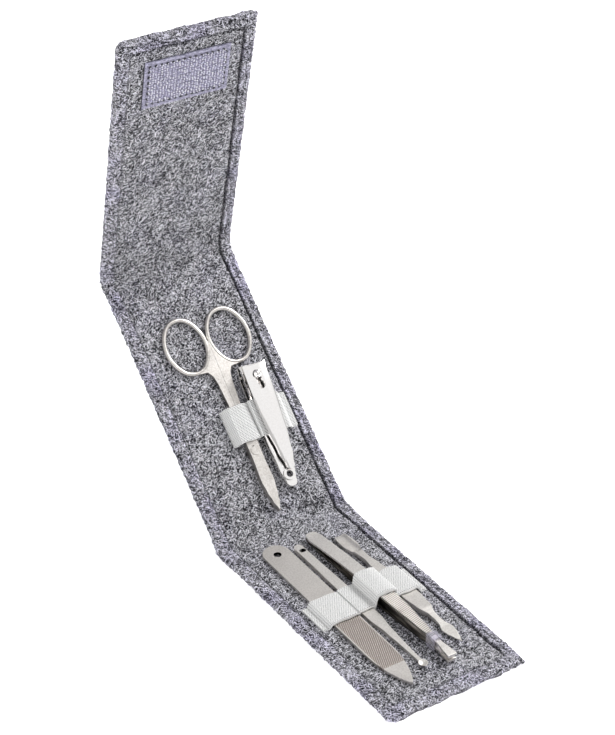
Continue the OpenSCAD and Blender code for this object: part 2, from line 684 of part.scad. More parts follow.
// Lever, stored upside down along the arms: an arched leaf with a keyhole for the post
module clipper_lever() {
    wide = clipper_w / 2 - 0.1;
    arch_r = (pow(wide, 2) + pow(lever_arch, 2)) / (2 * lever_arch);
    tail = lever_head - lever_len;
    color("#e6e6e8") on_lever() difference() {
        intersection() {
            translate([0, 0, -4]) linear_extrude(8) difference() {
                union() {
                    blade_outline([[tail + 1.6, 1.7], [tail + 8, 3.1], [tail + 19, 4.5], [tail + 32, wide],
                        [lever_head, wide]], 48);
                    translate([0, tail + 1.8]) circle(r = 1.8);
                }
                translate([0, lever_head + 15.4]) circle(r = 16.2, $fn = 96);
            }
            translate([0, tail - 2, lever_t / 2 - arch_r]) rotate([-90, 0, 0]) difference() {
                cylinder(r = arch_r, h = lever_len + 4, $fn = 128);
                translate([0, 0, -past]) cylinder(r = arch_r - lever_t, h = lever_len + 4 + 2 * past, $fn = 128);
            }
        }
        translate([-slot_r, -5.2, -4]) cube([2 * slot_r, 5.2, 8]);
        translate([0, -5.2, -4]) cylinder(r = slot_r, h = 8);
        translate([0, 0, -4]) cylinder(r = slot_r, h = 8);
        translate([0, -4.6, -4]) cylinder(r = dome_r + 0.25, h = 8);
    }
}

lower_panel_outer();
lower_panel_lining();
lower_fold_outer();
lower_fold_lining();
middle_panel_outer();
middle_panel_lining();
upper_fold_outer();
upper_fold_lining();
flap_outer();
flap_lining();
hook_patch();
loop_patch();
lower_elastic();
middle_elastic();
nail_file();
ear_pick();
tweezers_lower_arm();
tweezers_upper_arm();
tweezers_tip_sleeve();
cuticle_pusher();
scissors_right_half();
scissors_left_half();
scissors_rivet();
clipper_lower_arm();
clipper_upper_arm();
clipper_eyelet();
clipper_post();
clipper_lever();
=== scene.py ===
# %% [markdown]
# # A felt manicure case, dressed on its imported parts
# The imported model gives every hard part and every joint. This lesson keeps those parts where they are
# and gives them steel, felt, elastic and tape. Soft parts are made again as cloth, because a flat block
# of felt never looks like felt.

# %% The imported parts
import math
import bmesh
import bpy
import numpy as np
from mathutils import Matrix, Vector


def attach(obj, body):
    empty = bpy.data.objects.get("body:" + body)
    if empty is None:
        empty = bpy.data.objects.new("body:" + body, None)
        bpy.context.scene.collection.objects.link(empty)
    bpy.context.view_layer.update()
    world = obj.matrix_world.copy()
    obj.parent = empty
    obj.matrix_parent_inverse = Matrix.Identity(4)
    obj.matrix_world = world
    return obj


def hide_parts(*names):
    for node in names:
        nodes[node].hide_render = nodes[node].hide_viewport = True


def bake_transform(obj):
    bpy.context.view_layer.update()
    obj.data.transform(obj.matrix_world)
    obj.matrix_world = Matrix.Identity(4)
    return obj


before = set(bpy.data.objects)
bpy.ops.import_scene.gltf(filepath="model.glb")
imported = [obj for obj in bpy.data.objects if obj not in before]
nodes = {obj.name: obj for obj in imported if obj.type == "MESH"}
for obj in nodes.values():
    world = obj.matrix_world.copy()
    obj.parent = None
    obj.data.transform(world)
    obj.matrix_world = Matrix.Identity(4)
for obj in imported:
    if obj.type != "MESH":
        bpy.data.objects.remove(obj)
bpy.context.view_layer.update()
bpy.context.scene.view_settings.view_transform = "Standard"

# %% [markdown]
# ## Camera
# The photograph looks down on the open case from its left front corner with a long lens. The camera
# has that direction and distance. It is upright, so only two angles and one place are needed.

# %% Camera
LOOK = Vector((0.46543673, 0.71320854, -0.52412043))
EYE = Vector((-0.353019, -0.499453, 0.486308))
sideways = LOOK.cross(Vector((0, 0, 1))).normalized()
upward = sideways.cross(LOOK)
lens = bpy.data.cameras.new("photo_camera")
lens.lens = 97.644
lens.sensor_fit = "VERTICAL"
lens.sensor_height = 36
lens.clip_start, lens.clip_end = 0.05, 20
camera = bpy.data.objects.new("photo_camera", lens)
turn = Matrix((sideways, upward, -LOOK)).transposed().to_4x4()
camera.matrix_world = Matrix.Translation(EYE) @ turn
bpy.context.scene.collection.objects.link(camera)
bpy.context.scene.camera = camera
print("camera at", EYE, "with a lens of", lens.lens, "mm")

# %% [markdown]
# ## The strip
# The case is one long strip of felt with two soft bends. Every soft piece is drawn on the flat strip
# first, as a cutter would: x across, s along, z up from the outer face. One function then carries the
# flat drawing onto the bent strip, so pieces that meet on the strip also meet in space.

# %% Sizes of the strip
MM = 0.001
# Sizes on the strip are in millimetres: the lengths of the three panels, half the width, and the height
# of the outer felt alone and of both felts. A bend has a place, an angle in degrees and an inner radius.
LOWER, MIDDLE, FLAP = 120.0, 125.0, 118.5
END = LOWER + MIDDLE + FLAP
HALF = 31.0
OUTER_T, FELT_T = 1.6, 3.2
BENDS = [(LOWER, 42.0, 5.0), (LOWER + MIDDLE, 61.0, 6.5)]


def strip_point(x, s, z):
    """Flat places on the strip, in mm, as points of the row frame in metres."""
    x, s, z = np.broadcast_arrays(*(np.asarray(v, float) for v in (x, s, z)))
    base, turned, base_s = np.array([-LOWER / 2, 0.0]), 0.0, 0.0
    y = base[0] + s - base_s
    h = base[1] + z
    for place, bend, inside in BENDS:
        bend, radius = math.radians(bend), inside + FELT_T
        reach = radius * math.tan(bend / 2)
        ahead = np.array([math.cos(turned), math.sin(turned)])
        rise = np.array([-ahead[1], ahead[0]])
        corner = base + ahead * (place - base_s)
        middle = corner - ahead * reach + rise * radius
        angle = turned + np.clip((s - place + reach) / (2 * reach), 0, 1) * bend
        on_bend = s > place - reach
        y = np.where(on_bend, middle[0] + (radius - z) * np.sin(angle), y)
        h = np.where(on_bend, middle[1] - (radius - z) * np.cos(angle), h)
        turned, base, base_s = turned + bend, corner, place
        ahead = np.array([math.cos(turned), math.sin(turned)])
        past = s > place + reach
        y = np.where(past, base[0] + ahead[0] * (s - base_s) - ahead[1] * z, y)
        h = np.where(past, base[1] + ahead[1] * (s - base_s) + ahead[0] * z, h)
    return np.stack([x, y, h], -1) * MM


print("strip ends at", strip_point(0, END, 0).round(4))

# %% [markdown]
# ## Surfaces from rows of points
# Most soft pieces are swept: one closed ring of points for each step along the strip. A ring knows
# its own place, so an edge may wander and a corner may be cut round without any special case.

# %% Mesh helpers
SAME_POINT = 1e-7


def mesh_piece(name, points, faces, material=None, sharp=40, cloth=None, marks=None):
    """A closed mesh. cloth holds a flat place for each point, marks a number for each point."""
    mesh = bpy.data.meshes.new(name)
    mesh.from_pydata([tuple(p) for p in points], [], faces)
    mesh.update()
    if cloth is not None:
        corner = np.empty(len(mesh.loops), np.int32)
        mesh.loops.foreach_get("vertex_index", corner)
        flat = cloth.reshape(-1, 2)[corner].astype(np.float32)
        mesh.uv_layers.new(name="cloth").data.foreach_set("uv", flat.ravel())
    for label, values in (marks or {}).items():
        layer = mesh.attributes.new(label, "FLOAT", "POINT")
        layer.data.foreach_set("value", values.ravel().astype(np.float32))
    edit = bmesh.new()
    edit.from_mesh(mesh)
    bmesh.ops.remove_doubles(edit, verts=edit.verts, dist=SAME_POINT)
    bmesh.ops.recalc_face_normals(edit, faces=edit.faces)
    edit.to_mesh(mesh)
    edit.free()
    mesh.polygons.foreach_set("use_smooth", [True] * len(mesh.polygons))
    mesh.set_sharp_from_angle(angle=math.radians(sharp))
    piece = bpy.data.objects.new(name, mesh)
    bpy.context.scene.collection.objects.link(piece)
    if material:
        mesh.materials.append(material)
    return piece


def cap_faces(ring, first):
    """Triangles that close a long thin outline, zipped between its two long sides."""
    centred = ring - ring.mean(0)
    run = centred @ np.linalg.svd(centred, full_matrices=False)[2][0]
    low, high, count = int(run.argmin()), int(run.argmax()), len(ring)
    ahead = [(low + i) % count for i in range((high - low) % count + 1)]
    back = [(low - i) % count for i in range((low - high) % count + 1)]
    faces, i, j = [], 0, 0
    while i < len(ahead) - 1 or j < len(back) - 1:
        step_ahead = j == len(back) - 1 or (
            i < len(ahead) - 1 and run[ahead[i + 1]] < run[back[j + 1]])
        corners = (ahead[i], back[j], ahead[i + 1] if step_ahead else back[j + 1])
        i, j = (i + 1, j) if step_ahead else (i, j + 1)
        if len(set(corners)) == 3:
            faces.append(tuple(first + c for c in corners))
    return faces


def swept(name, rings, material=None, sharp=40, cloth=None, marks=None):
    """A closed skin over rings of points, with a cap at both ends."""
    rings = np.asarray(rings)
    count, around = rings.shape[:2]
    faces = []
    for i in range(count - 1):
        for j in range(around):
            k = (j + 1) % around
            faces.append((i * around + j, i * around + k, (i + 1) * around + k, (i + 1) * around + j))
    faces += cap_faces(rings[0], 0) + cap_faces(rings[-1], (count - 1) * around)
    return mesh_piece(name, rings.reshape(-1, 3), faces, material, sharp, cloth, marks)


# %% [markdown]
# ## Felt, fibres and steel as shader groups
# Felt is a mat of short fibres in several greys. A round noise gives the salt-and-pepper grain, and a
# combed one lets it lie a little across the strip. Six long ones, laid on the flat cloth in six
# directions, give light and dark strokes. The cloth coordinates run on without a break where two pieces
# meet. A mark on the mesh paints shade into the hollows of the seams and grooves.

# %% Node helpers
def add(tree, kind, **settings):
    made = tree.nodes.new(kind)
    for key, value in settings.items():
        setattr(made, key, value)
    return made


def wire(tree, source, target):
    tree.links.new(source, target)


def shader_group(name, inputs, outputs):
    tree = bpy.data.node_groups.new(name, "ShaderNodeTree")
    for label, kind, value in inputs:
        socket = tree.interface.new_socket(label, in_out="INPUT", socket_type=kind)
        if value is not None:
            socket.default_value = value
    for label, kind in outputs:
        tree.interface.new_socket(label, in_out="OUTPUT", socket_type=kind)
    return tree, add(tree, "NodeGroupInput"), add(tree, "NodeGroupOutput")


def maths(tree, kind, *values):
    """A math node. Each value is a number or another node's socket."""
    made = add(tree, "ShaderNodeMath", operation=kind)
    for socket, value in zip(made.inputs, values):
        if isinstance(value, (int, float)):
            socket.default_value = value
        else:
            wire(tree, value, socket)
    return made.outputs[0]


def plus(tree, first, second):
    return maths(tree, "ADD", first, second)


def times(tree, first, second):
    return maths(tree, "MULTIPLY", first, second)


# %% Noise and colour helpers
def noise(tree, vector, scale, detail, rough):
    made = add(tree, "ShaderNodeTexNoise")
    made.inputs["Scale"].default_value = scale
    made.inputs["Detail"].default_value = detail
    made.inputs["Roughness"].default_value = rough
    wire(tree, vector, made.inputs["Vector"])
    return made.outputs["Fac"]


def placed(tree, vector, rotation=(0, 0, 0), scale=(1, 1, 1), kind="POINT"):
    """The vector turned and stretched. With kind TEXTURE the scale is how far a pattern is drawn out."""
    made = add(tree, "ShaderNodeMapping", vector_type=kind)
    made.inputs["Rotation"].default_value = rotation
    made.inputs["Scale"].default_value = scale
    wire(tree, vector, made.inputs["Vector"])
    return made.outputs["Vector"]


def between(tree, value, low, high, out_low=0.0, out_high=1.0):
    """Where a value stands between low and high. With low above high it runs the other way."""
    made = add(tree, "ShaderNodeMapRange")
    made.inputs["From Min"].default_value = low
    made.inputs["From Max"].default_value = high
    made.inputs["To Min"].default_value = out_low
    made.inputs["To Max"].default_value = out_high
    wire(tree, value, made.inputs["Value"])
    return made.outputs["Result"]


def mixed(tree, factor, first, second, blend="MIX"):
    made = add(tree, "ShaderNodeMix", data_type="RGBA", blend_type=blend)
    for socket, value in ((made.inputs[0], factor), (made.inputs[6], first), (made.inputs[7], second)):
        if isinstance(value, (tuple, list, int, float)):
            socket.default_value = value
        else:
            wire(tree, value, socket)
    return made.outputs[2]


# %% Felt fibres
RGBA, FLOAT, VECTOR = "NodeSocketColor", "NodeSocketFloat", "NodeSocketVector"
LIGHT_STROKES = ((0.3, 2300), (0.8, 2600), (2.8, 2300))  # each has a turn on the cloth and a fineness
DARK_STROKES = ((0.55, 2500), (0.1, 2300), (2.2, 2600))
STROKE_LENGTH, COMBED_LENGTH, CLOUD_LENGTH = 4.5, 3.0, 2.2  # in widths
HOLLOW_SHADE = (0.008, 0.008, 0.012, 1)
felt_fibres, ins, outs = shader_group(
    "felt_fibres",
    [("Vector", VECTOR, None), ("Cloth", VECTOR, None), ("Hollow", FLOAT, 0.0),
     ("Middle", RGBA, (0.2, 0.2, 0.22, 1)), ("Light", RGBA, (0.6, 0.6, 0.62, 1)),
     ("Dark", RGBA, (0.03, 0.03, 0.035, 1)), ("Tint", RGBA, (0.85, 0.8, 1.0, 1)), ("Tint Share", FLOAT, 0.6)],
    [("Color", RGBA), ("Height", FLOAT)],
)
place, cloth = ins.outputs["Vector"], ins.outputs["Cloth"]
light, dark = ins.outputs["Light"], ins.outputs["Dark"]


def laid_noise(turn, length, fineness, detail, rough):
    """A noise drawn out along one direction of the flat cloth."""
    return noise(felt_fibres, placed(felt_fibres, cloth, (0, 0, turn), (length, 1, 1), "TEXTURE"),
                 fineness, detail, rough)


def strokes(kind, directions):
    """The lightest or the darkest of several long noises."""
    first, *others = (laid_noise(turn, STROKE_LENGTH, fineness, 1, 0.5) for turn, fineness in directions)
    for other in others:
        first = maths(felt_fibres, kind, first, other)
    return first


grain = noise(felt_fibres, place, 1800, 2, 0.65)
lumps = noise(felt_fibres, place, 260, 3, 0.6)
patches = noise(felt_fibres, place, 75, 2, 0.5)
combed = laid_noise(0.5, COMBED_LENGTH, 1750, 2, 0.6)
clouds = laid_noise(0.9, CLOUD_LENGTH, 210, 3, 0.65)
bright = strokes("MAXIMUM", LIGHT_STROKES)
gloom = strokes("MINIMUM", DARK_STROKES)
print("felt noises:", 5 + len(LIGHT_STROKES) + len(DARK_STROKES))

# %% Colour and height of the felt
level = maths(felt_fibres, "MULTIPLY_ADD", grain, 0.64, maths(felt_fibres, "MULTIPLY_ADD", lumps, 0.10, -0.10))
level = maths(felt_fibres, "MULTIPLY_ADD", combed, 0.46, level)
shown = mixed(felt_fibres, between(felt_fibres, level, 0.463, 0.513), dark, ins.outputs["Middle"])
for value, low, high, share, color in (
        (level, 0.515, 0.567, 1.0, light),
        (gloom, 0.36, 0.29, 0.9, dark),
        (bright, 0.65, 0.73, 0.9, light),
        (clouds, 0.47, 0.30, 0.6, dark),
        (clouds, 0.53, 0.72, 0.35, light)):
    shown = mixed(felt_fibres, between(felt_fibres, value, low, high, 0.0, share), shown, color)
tinted = times(felt_fibres, between(felt_fibres, patches, 0.44, 0.64), ins.outputs["Tint Share"])
shown = mixed(felt_fibres, tinted, shown, ins.outputs["Tint"], "MULTIPLY")
# Painted shade: the hollow mark darkens the seams' hollows and grooves towards near black.
shown = mixed(felt_fibres, times(felt_fibres, ins.outputs["Hollow"], 0.88), shown, HOLLOW_SHADE)
wire(felt_fibres, shown, outs.inputs["Color"])
height = plus(felt_fibres, times(felt_fibres, bright, 0.8), grain)
wire(felt_fibres, plus(felt_fibres, height, lumps), outs.inputs["Height"])
print("felt_fibres nodes:", len(felt_fibres.nodes))

# %% [markdown]
# Steel has two things that a plain grey lacks: fine lines left by the polishing belt, and slow cloudy
# changes in how rough it is. The group gives a height and a roughness from both, and a few warm specks.

# %% Steel grain
WARM_SPECK = (0.30, 0.26, 0.22, 1)
steel_grain, ins, outs = shader_group(
    "steel_grain",
    [("Vector", VECTOR, None), ("Turn", FLOAT, 0.0), ("Base", RGBA, (0.6, 0.6, 0.6, 1)),
     ("Rough", FLOAT, 0.3), ("Spread", FLOAT, 0.1)],
    [("Color", RGBA), ("Height", FLOAT), ("Roughness", FLOAT)],
)
spun = add(steel_grain, "ShaderNodeVectorRotate", rotation_type="X_AXIS")
wire(steel_grain, ins.outputs["Vector"], spun.inputs["Vector"])
wire(steel_grain, ins.outputs["Turn"], spun.inputs["Angle"])
lines = noise(steel_grain, placed(steel_grain, spun.outputs[0], scale=(1, 0.04, 1)), 5200, 2, 0.6)
cloud = noise(steel_grain, ins.outputs["Vector"], 160, 3, 0.55)
pits = noise(steel_grain, ins.outputs["Vector"], 1500, 2, 0.6)
wire(steel_grain, lines, outs.inputs["Height"])
wave = plus(steel_grain, times(steel_grain, lines, 0.6), times(steel_grain, cloud, 0.8))
change = times(steel_grain, maths(steel_grain, "SUBTRACT", wave, 0.7), ins.outputs["Spread"])
wire(steel_grain, plus(steel_grain, change, ins.outputs["Rough"]), outs.inputs["Roughness"])
speckle = times(steel_grain, between(steel_grain, pits, 0.62, 0.38), ins.outputs["Spread"])
wire(steel_grain, mixed(steel_grain, speckle, ins.outputs["Base"], WARM_SPECK), outs.inputs["Color"])
print("steel_grain nodes:", len(steel_grain.nodes))


# %% Material helpers
def new_material(name, **values):
    """A material, its tree, its Principled shader and the Object coordinates."""
    made = bpy.data.materials.new(name)
    made.use_nodes = True
    tree = made.node_tree
    shader = tree.nodes["Principled BSDF"]
    for label, value in values.items():
        shader.inputs[label.replace("_", " ")].default_value = value
    coords = add(tree, "ShaderNodeTexCoord")
    return made, tree, shader, coords.outputs["Object"]


def use_group(tree, group, **values):
    """A group placed in a material, with a value or a socket for each named input."""
    made = add(tree, "ShaderNodeGroup", node_tree=group)
    for label, value in values.items():
        socket = made.inputs[label.replace("_", " ")]
        if isinstance(value, bpy.types.NodeSocket):
            wire(tree, value, socket)
        else:
            socket.default_value = value
    return made


def bumped(tree, shader, height, strength, distance):
    bump = add(tree, "ShaderNodeBump")
    bump.inputs["Strength"].default_value = strength
    bump.inputs["Distance"].default_value = distance
    wire(tree, height, bump.inputs["Height"])
    wire(tree, bump.outputs["Normal"], shader.inputs["Normal"])


# %% Felt and steel materials
def felt_material(name, middle, light, dark, tint, share):
    made, tree, shader, where = new_material(name, Roughness=0.95, Sheen_Weight=0.08, Sheen_Roughness=0.6)
    shader.inputs["Specular IOR Level"].default_value = 0.1
    flat_place = add(tree, "ShaderNodeUVMap", uv_map="cloth")
    hollow = add(tree, "ShaderNodeAttribute", attribute_name="hollow")
    fibres = use_group(tree, felt_fibres, Vector=where, Cloth=flat_place.outputs[0],
                       Hollow=hollow.outputs["Fac"], Middle=middle, Light=light, Dark=dark, Tint=tint,
                       Tint_Share=share)
    wire(tree, fibres.outputs["Color"], shader.inputs["Base Color"])
    bumped(tree, shader, fibres.outputs["Height"], 0.8, 0.0005)
    return made


outer_felt = felt_material("outer_felt", (0.160, 0.157, 0.174, 1), (0.80, 0.79, 0.86, 1),
                           (0.005, 0.005, 0.008, 1), (0.80, 0.76, 1.0, 1), 0.6)
lining_felt = felt_material("lining_felt", (0.108, 0.107, 0.116, 1), (0.67, 0.665, 0.71, 1),
                            (0.004, 0.004, 0.006, 1), (0.84, 0.82, 1.0, 1), 0.3)


def hole_shade(tree, where, color, hole):
    """Paints near-black shade on the wall of an upright hole, given as x, y and radius."""
    flat = placed(tree, where, scale=(1, 1, 0))
    away = add(tree, "ShaderNodeVectorMath", operation="DISTANCE")
    wire(tree, flat, away.inputs[0])
    away.inputs[1].default_value = (hole[0], hole[1], 0)
    wall = between(tree, away.outputs["Value"], hole[2] + 0.00004, hole[2] + 0.00001)
    return mixed(tree, wall, color, (0.01, 0.01, 0.01, 1))


def steel_material(name, color, rough, spread, strength, turn=0.0, hole=None):
    made, tree, shader, where = new_material(name, Metallic=1.0)
    grain = use_group(tree, steel_grain, Vector=where, Turn=turn, Base=color, Rough=rough, Spread=spread)
    shown = grain.outputs["Color"]
    wire(tree, hole_shade(tree, where, shown, hole) if hole else shown, shader.inputs["Base Color"])
    wire(tree, grain.outputs["Roughness"], shader.inputs["Roughness"])
    bumped(tree, shader, grain.outputs["Height"], strength, 0.00005)
    return made


SATIN, SATIN_ROUGH, SATIN_SPREAD = (0.93, 0.90, 0.865, 1), 0.34, 0.22
# The pick's hole gets painted shade on its wall.
PICK_HOLE = (-0.00358, 0.03907, 0.0011)
LEAN = -math.radians(BENDS[0][1])  # the middle panel's tools lean back by the first bend
satin = steel_material("satin_steel", SATIN, SATIN_ROUGH, SATIN_SPREAD, 0.3)
pick_satin = steel_material("pick_satin", SATIN, SATIN_ROUGH, SATIN_SPREAD, 0.3, hole=PICK_HOLE)
satin_leaning = steel_material("satin_steel_leaning", (0.66, 0.635, 0.61, 1), 0.33, 0.35, 0.3, LEAN)
bright_steel = steel_material("bright_steel", (0.97, 0.95, 0.94, 1), 0.09, 0.05, 0.05, LEAN)
print("steel finishes:", [steel.name for steel in (satin, pick_satin, satin_leaning, bright_steel)])

# %% [markdown]
# ## The outer felt
# The outer felt carries the edge that is turned over the lining. Its ring goes under the case, round the
# rolled side, over the turned edge and down into the trough that holds the lining. Sewing pulls a
# valley into the turned edge with a pucker at each stitch. The two free ends are cut, so they are thin
# and ragged. The strip crosses four joints, so it is made in four pieces.

# %% Where the seams lie, and how uneven the felt is
generator = np.random.default_rng(11)
SWELLS = [(generator.uniform(7, 24), generator.uniform(0, math.pi), generator.uniform(0, 6.3))
          for _ in range(14)]
STITCH = 2.7
RIGHT_IN, LEFT_IN = 25.62, -25.6  # inner edges of the turned felt
FRONT_IN, TOP_IN = 5.3, END - 5.5
RIGHT_SEAM, LEFT_RIDGE, TOP_SEAM = 28.0, -27.8, END - 2.6
SIDE_PHASE, SEAM_PHASE, END_PHASE = 0.8, 1.0, 0.4
CORNERS = {(0, -1): 2.2, (0, 1): 0.8, (1, -1): 3.4, (1, 1): 1.0}  # radius at (free end, side)


def swell(x, s):
    """A slow unevenness of the felt, from about -1 to 1."""
    total = 0
    for length, way, phase in SWELLS:
        total = total + np.sin(2 * math.pi * (x * math.cos(way) + s * math.sin(way)) / length + phase)
    return total / 7


def valley(distance, width):
    return np.exp(-(distance / width) ** 2)


def eased(t):
    return (1 - np.cos(math.pi * np.clip(t, 0, 1))) / 2


def pulled(place, phase=0.0):
    """1 at each stitch, 0 half way between two."""
    return 0.5 + 0.5 * np.cos(2 * math.pi * place / STITCH + phase)


# %% Valleys, puckers and hollows of the seams
def felt_relief(x, s):
    """How far the upper face of the felt stands above or below flat."""
    relief = 0.16 * swell(x, s) - 0.04
    relief = relief - 0.34 * valley(x - LEFT_IN - 0.1, 1.0) * (0.45 + 0.55 * pulled(s))
    relief = relief + 0.12 * valley(x - LEFT_RIDGE, 1.0) + 0.30 * valley(x - RIGHT_IN - 0.6, 0.5)
    relief = relief - 0.36 * valley(x - RIGHT_SEAM, 0.5) * (0.5 + 0.5 * pulled(s, SEAM_PHASE))
    relief = relief - 0.30 * valley(s - FRONT_IN, 0.9) * (0.3 + 0.7 * pulled(x, END_PHASE))
    relief = relief - 0.28 * valley(s - TOP_SEAM, 0.5) * pulled(x, END_PHASE)
    return relief + 0.18 * valley(s - TOP_IN - 0.6, 0.5)


def hollow_at(x, s):
    """How much a place lies in a seam's hollow, from 0 to 1: the strength of the painted shade there."""
    slow = 0.5 + 0.5 * swell(x * 0.2, s * 0.8)
    mark = 0.55 * valley(x - RIGHT_SEAM, 0.32) * pulled(s, SEAM_PHASE)
    mark = mark + 0.6 * valley(x - LEFT_IN, 0.45) * pulled(s) * slow
    mark = mark + 0.5 * valley(s - FRONT_IN, 0.4) * pulled(x, END_PHASE) * slow
    mark = mark + 0.5 * valley(s - TOP_SEAM, 0.3) * pulled(x, END_PHASE)
    along_top = eased((x + 17) / 4) * eased((29.2 - x) / 1.2)
    return np.clip(mark + 0.9 * valley(s - TOP_IN + 0.1, 0.5) * along_top, 0, 1)


# %% Cut edges and corners
def ragged(x, seed):
    """A cut edge: small scallops and a few longer bites, in mm."""
    return (0.42 * np.abs(np.sin(math.pi * x / 3.6 + seed)) + 0.26 * np.sin(x * 1.7 + seed * 2)
            + 0.2 * np.sin(x * 4.1 + seed) + 0.3 * np.sin(x * 0.43 + seed * 3))


def side_reach(s, side):
    """Half the width on one side, with the cut corner and a slight bulge where the felt bends."""
    away, radius = min(s, END - s), CORNERS[(int(s > END / 2), side)]
    cut = radius - math.sqrt(max(radius**2 - max(radius - away, 0) ** 2, 0))
    bulge = 0.7 * valley(s - LOWER + 4, 9) + 0.3 * valley(s - LOWER - MIDDLE, 8)
    wander = 0.2 * math.sin(s * 0.9 + side) * math.sin(s * 0.37 + 1) + 0.12 * math.sin(s * 2.33 * side)
    return HALF - cut + bulge + wander


def end_shape(x, s, z):
    """Near a free end the felt is thinner and its edge wanders."""
    front = np.clip(1 - s / 5.0, 0, 1)
    top = np.clip(1 - (END - s) / 3.0, 0, 1)
    z = z * (1 - 0.52 * front**2)
    z = OUTER_T + (z - OUTER_T) * (1 - 0.45 * top**3)
    return x, s + ragged(x, 1.0) * front - 0.7 * ragged(x, 4.0) * top, z


# %% One ring of the outer felt
UNDER_POINTS, TROUGH_POINTS, HEM_POINTS = 31, 58, 7


def outer_ring(s):
    """Points, flat places and hollow marks of one ring of the outer felt; the hollow marks are painted shade.
    """
    radius = FELT_T / 2
    left, right = side_reach(s, -1) - radius, side_reach(s, 1) - radius
    closed = s < FRONT_IN or s > TOP_IN
    turn = np.radians(np.linspace(-90, 90, 11)[1:-1])
    side_x, side_z = radius * np.cos(turn), radius + radius * np.sin(turn)
    right_x = np.concatenate([np.linspace(right, RIGHT_IN + 0.9, HEM_POINTS),
                              [RIGHT_IN + 0.5, RIGHT_IN + 0.2, RIGHT_IN + 0.04]])
    right_z = np.array([FELT_T] * 8 + [FELT_T - 0.08, FELT_T - 0.35])
    left_x = np.concatenate([[LEFT_IN - 0.04, LEFT_IN - 0.25, LEFT_IN - 0.6],
                             np.linspace(LEFT_IN - 1.0, -left, HEM_POINTS)])
    left_z = np.array([FELT_T - 0.2, FELT_T - 0.06] + [FELT_T] * 8)
    trough_x = np.linspace(RIGHT_IN, LEFT_IN, TROUGH_POINTS)
    trough_z = np.full(TROUGH_POINTS, FELT_T if closed else OUTER_T)
    if closed:
        right_z[:], left_z[:] = FELT_T, FELT_T
    x = np.concatenate([np.linspace(-left, right, UNDER_POINTS), right + side_x, right_x, trough_x, left_x,
                        -left - side_x[::-1]])
    z = np.concatenate([np.zeros(UNDER_POINTS), side_z, right_z, trough_z, left_z, side_z[::-1]])
    run = np.concatenate([[0], np.cumsum(np.hypot(np.diff(x), np.diff(z)))])
    cloth = np.stack([run, np.full(run.shape, float(s))], -1) * MM
    upper = np.clip((z - OUTER_T) / OUTER_T, 0, 1)
    hollow = hollow_at(x, s) * upper
    # Painted shade: the trough's floor is marked black and the inner wall of the right-hand groove dark.
    if not closed:
        hollow[(x > LEFT_IN - 0.01) & (x < RIGHT_IN + 0.01) & (z > 0.1)] = 1.0
        hollow[(np.abs(x - RIGHT_IN - 0.1) < 0.12) & (z > 0.1)] = 0.6
    z = z + felt_relief(x, s) * upper
    side = np.clip(np.where(x > 0, x - right, -x - left) / radius, 0, 1)
    x = x + np.sign(x) * side * 0.2 * (pulled(s, SIDE_PHASE) - 0.5)
    x, along, z = end_shape(x, np.full(x.shape, float(s)), z)
    return strip_point(x, along, z), cloth, hollow


# %% Four pieces of outer felt
RING_STEP, BEND_STEP, NEAR_BEND, LEAST_STEP = 0.9, 0.45, 6, 0.02


def steps(start, stop, extra=()):
    """Places of the rings: evenly spread, closer on the bends, and where asked."""
    places = list(np.linspace(start, stop, int(round((stop - start) / RING_STEP)) + 1))
    places += [p for p in extra if start < p < stop]
    for place, _, _ in BENDS:
        places += [p for p in np.arange(place - NEAR_BEND, place + NEAR_BEND, BEND_STEP) if start < p < stop]
    places = sorted(places)
    return [p for i, p in enumerate(places)
            if i in (0, len(places) - 1) or p - places[i - 1] > LEAST_STEP]


def felt_piece(name, ring, places, material):
    rings, cloth, hollow = (np.array(part) for part in zip(*(ring(s) for s in places)))
    return swept(name, rings, material, 50, cloth, {"hollow": hollow})


HALFWAY = LOWER + MIDDLE / 2
SPANS = [(0.0, LOWER), (LOWER, HALFWAY), (HALFWAY, LOWER + MIDDLE), (LOWER + MIDDLE, END)]
SPAN_NAMES = ["front", "low_middle", "high_middle", "flap"]
NEAR_CUT = (0.12, 0.35, 0.7, 1.2, 1.8, 2.5)
ends_extra = [*NEAR_CUT, FRONT_IN - 0.05, FRONT_IN + 0.02, TOP_IN - 0.02, TOP_IN + 0.05]
ends_extra += [END - v for v in NEAR_CUT]

outer_pieces = [
    felt_piece("outer_felt_" + name, outer_ring, steps(a, b, ends_extra), outer_felt)
    for name, (a, b) in zip(SPAN_NAMES, SPANS)
]
print("faces of the outer felt:", [len(piece.data.polygons) for piece in outer_pieces])

# %% [markdown]
# ## The lining
# The lining is a second felt that lies in the trough. On the right and at the top a narrow groove shows
# between it and the turned edge. On the left and at the front the two felts press together.

# %% Lining rings
LINING_LEFT, LINING_RIGHT = -25.55, 24.85
LINING_FRONT, LINING_TOP = FRONT_IN + 0.15, TOP_IN - 0.5
LINING_POINTS, LINING_UNDER = 62, 24
NEAR_LINING_END = (0.1, 0.3, 0.6)


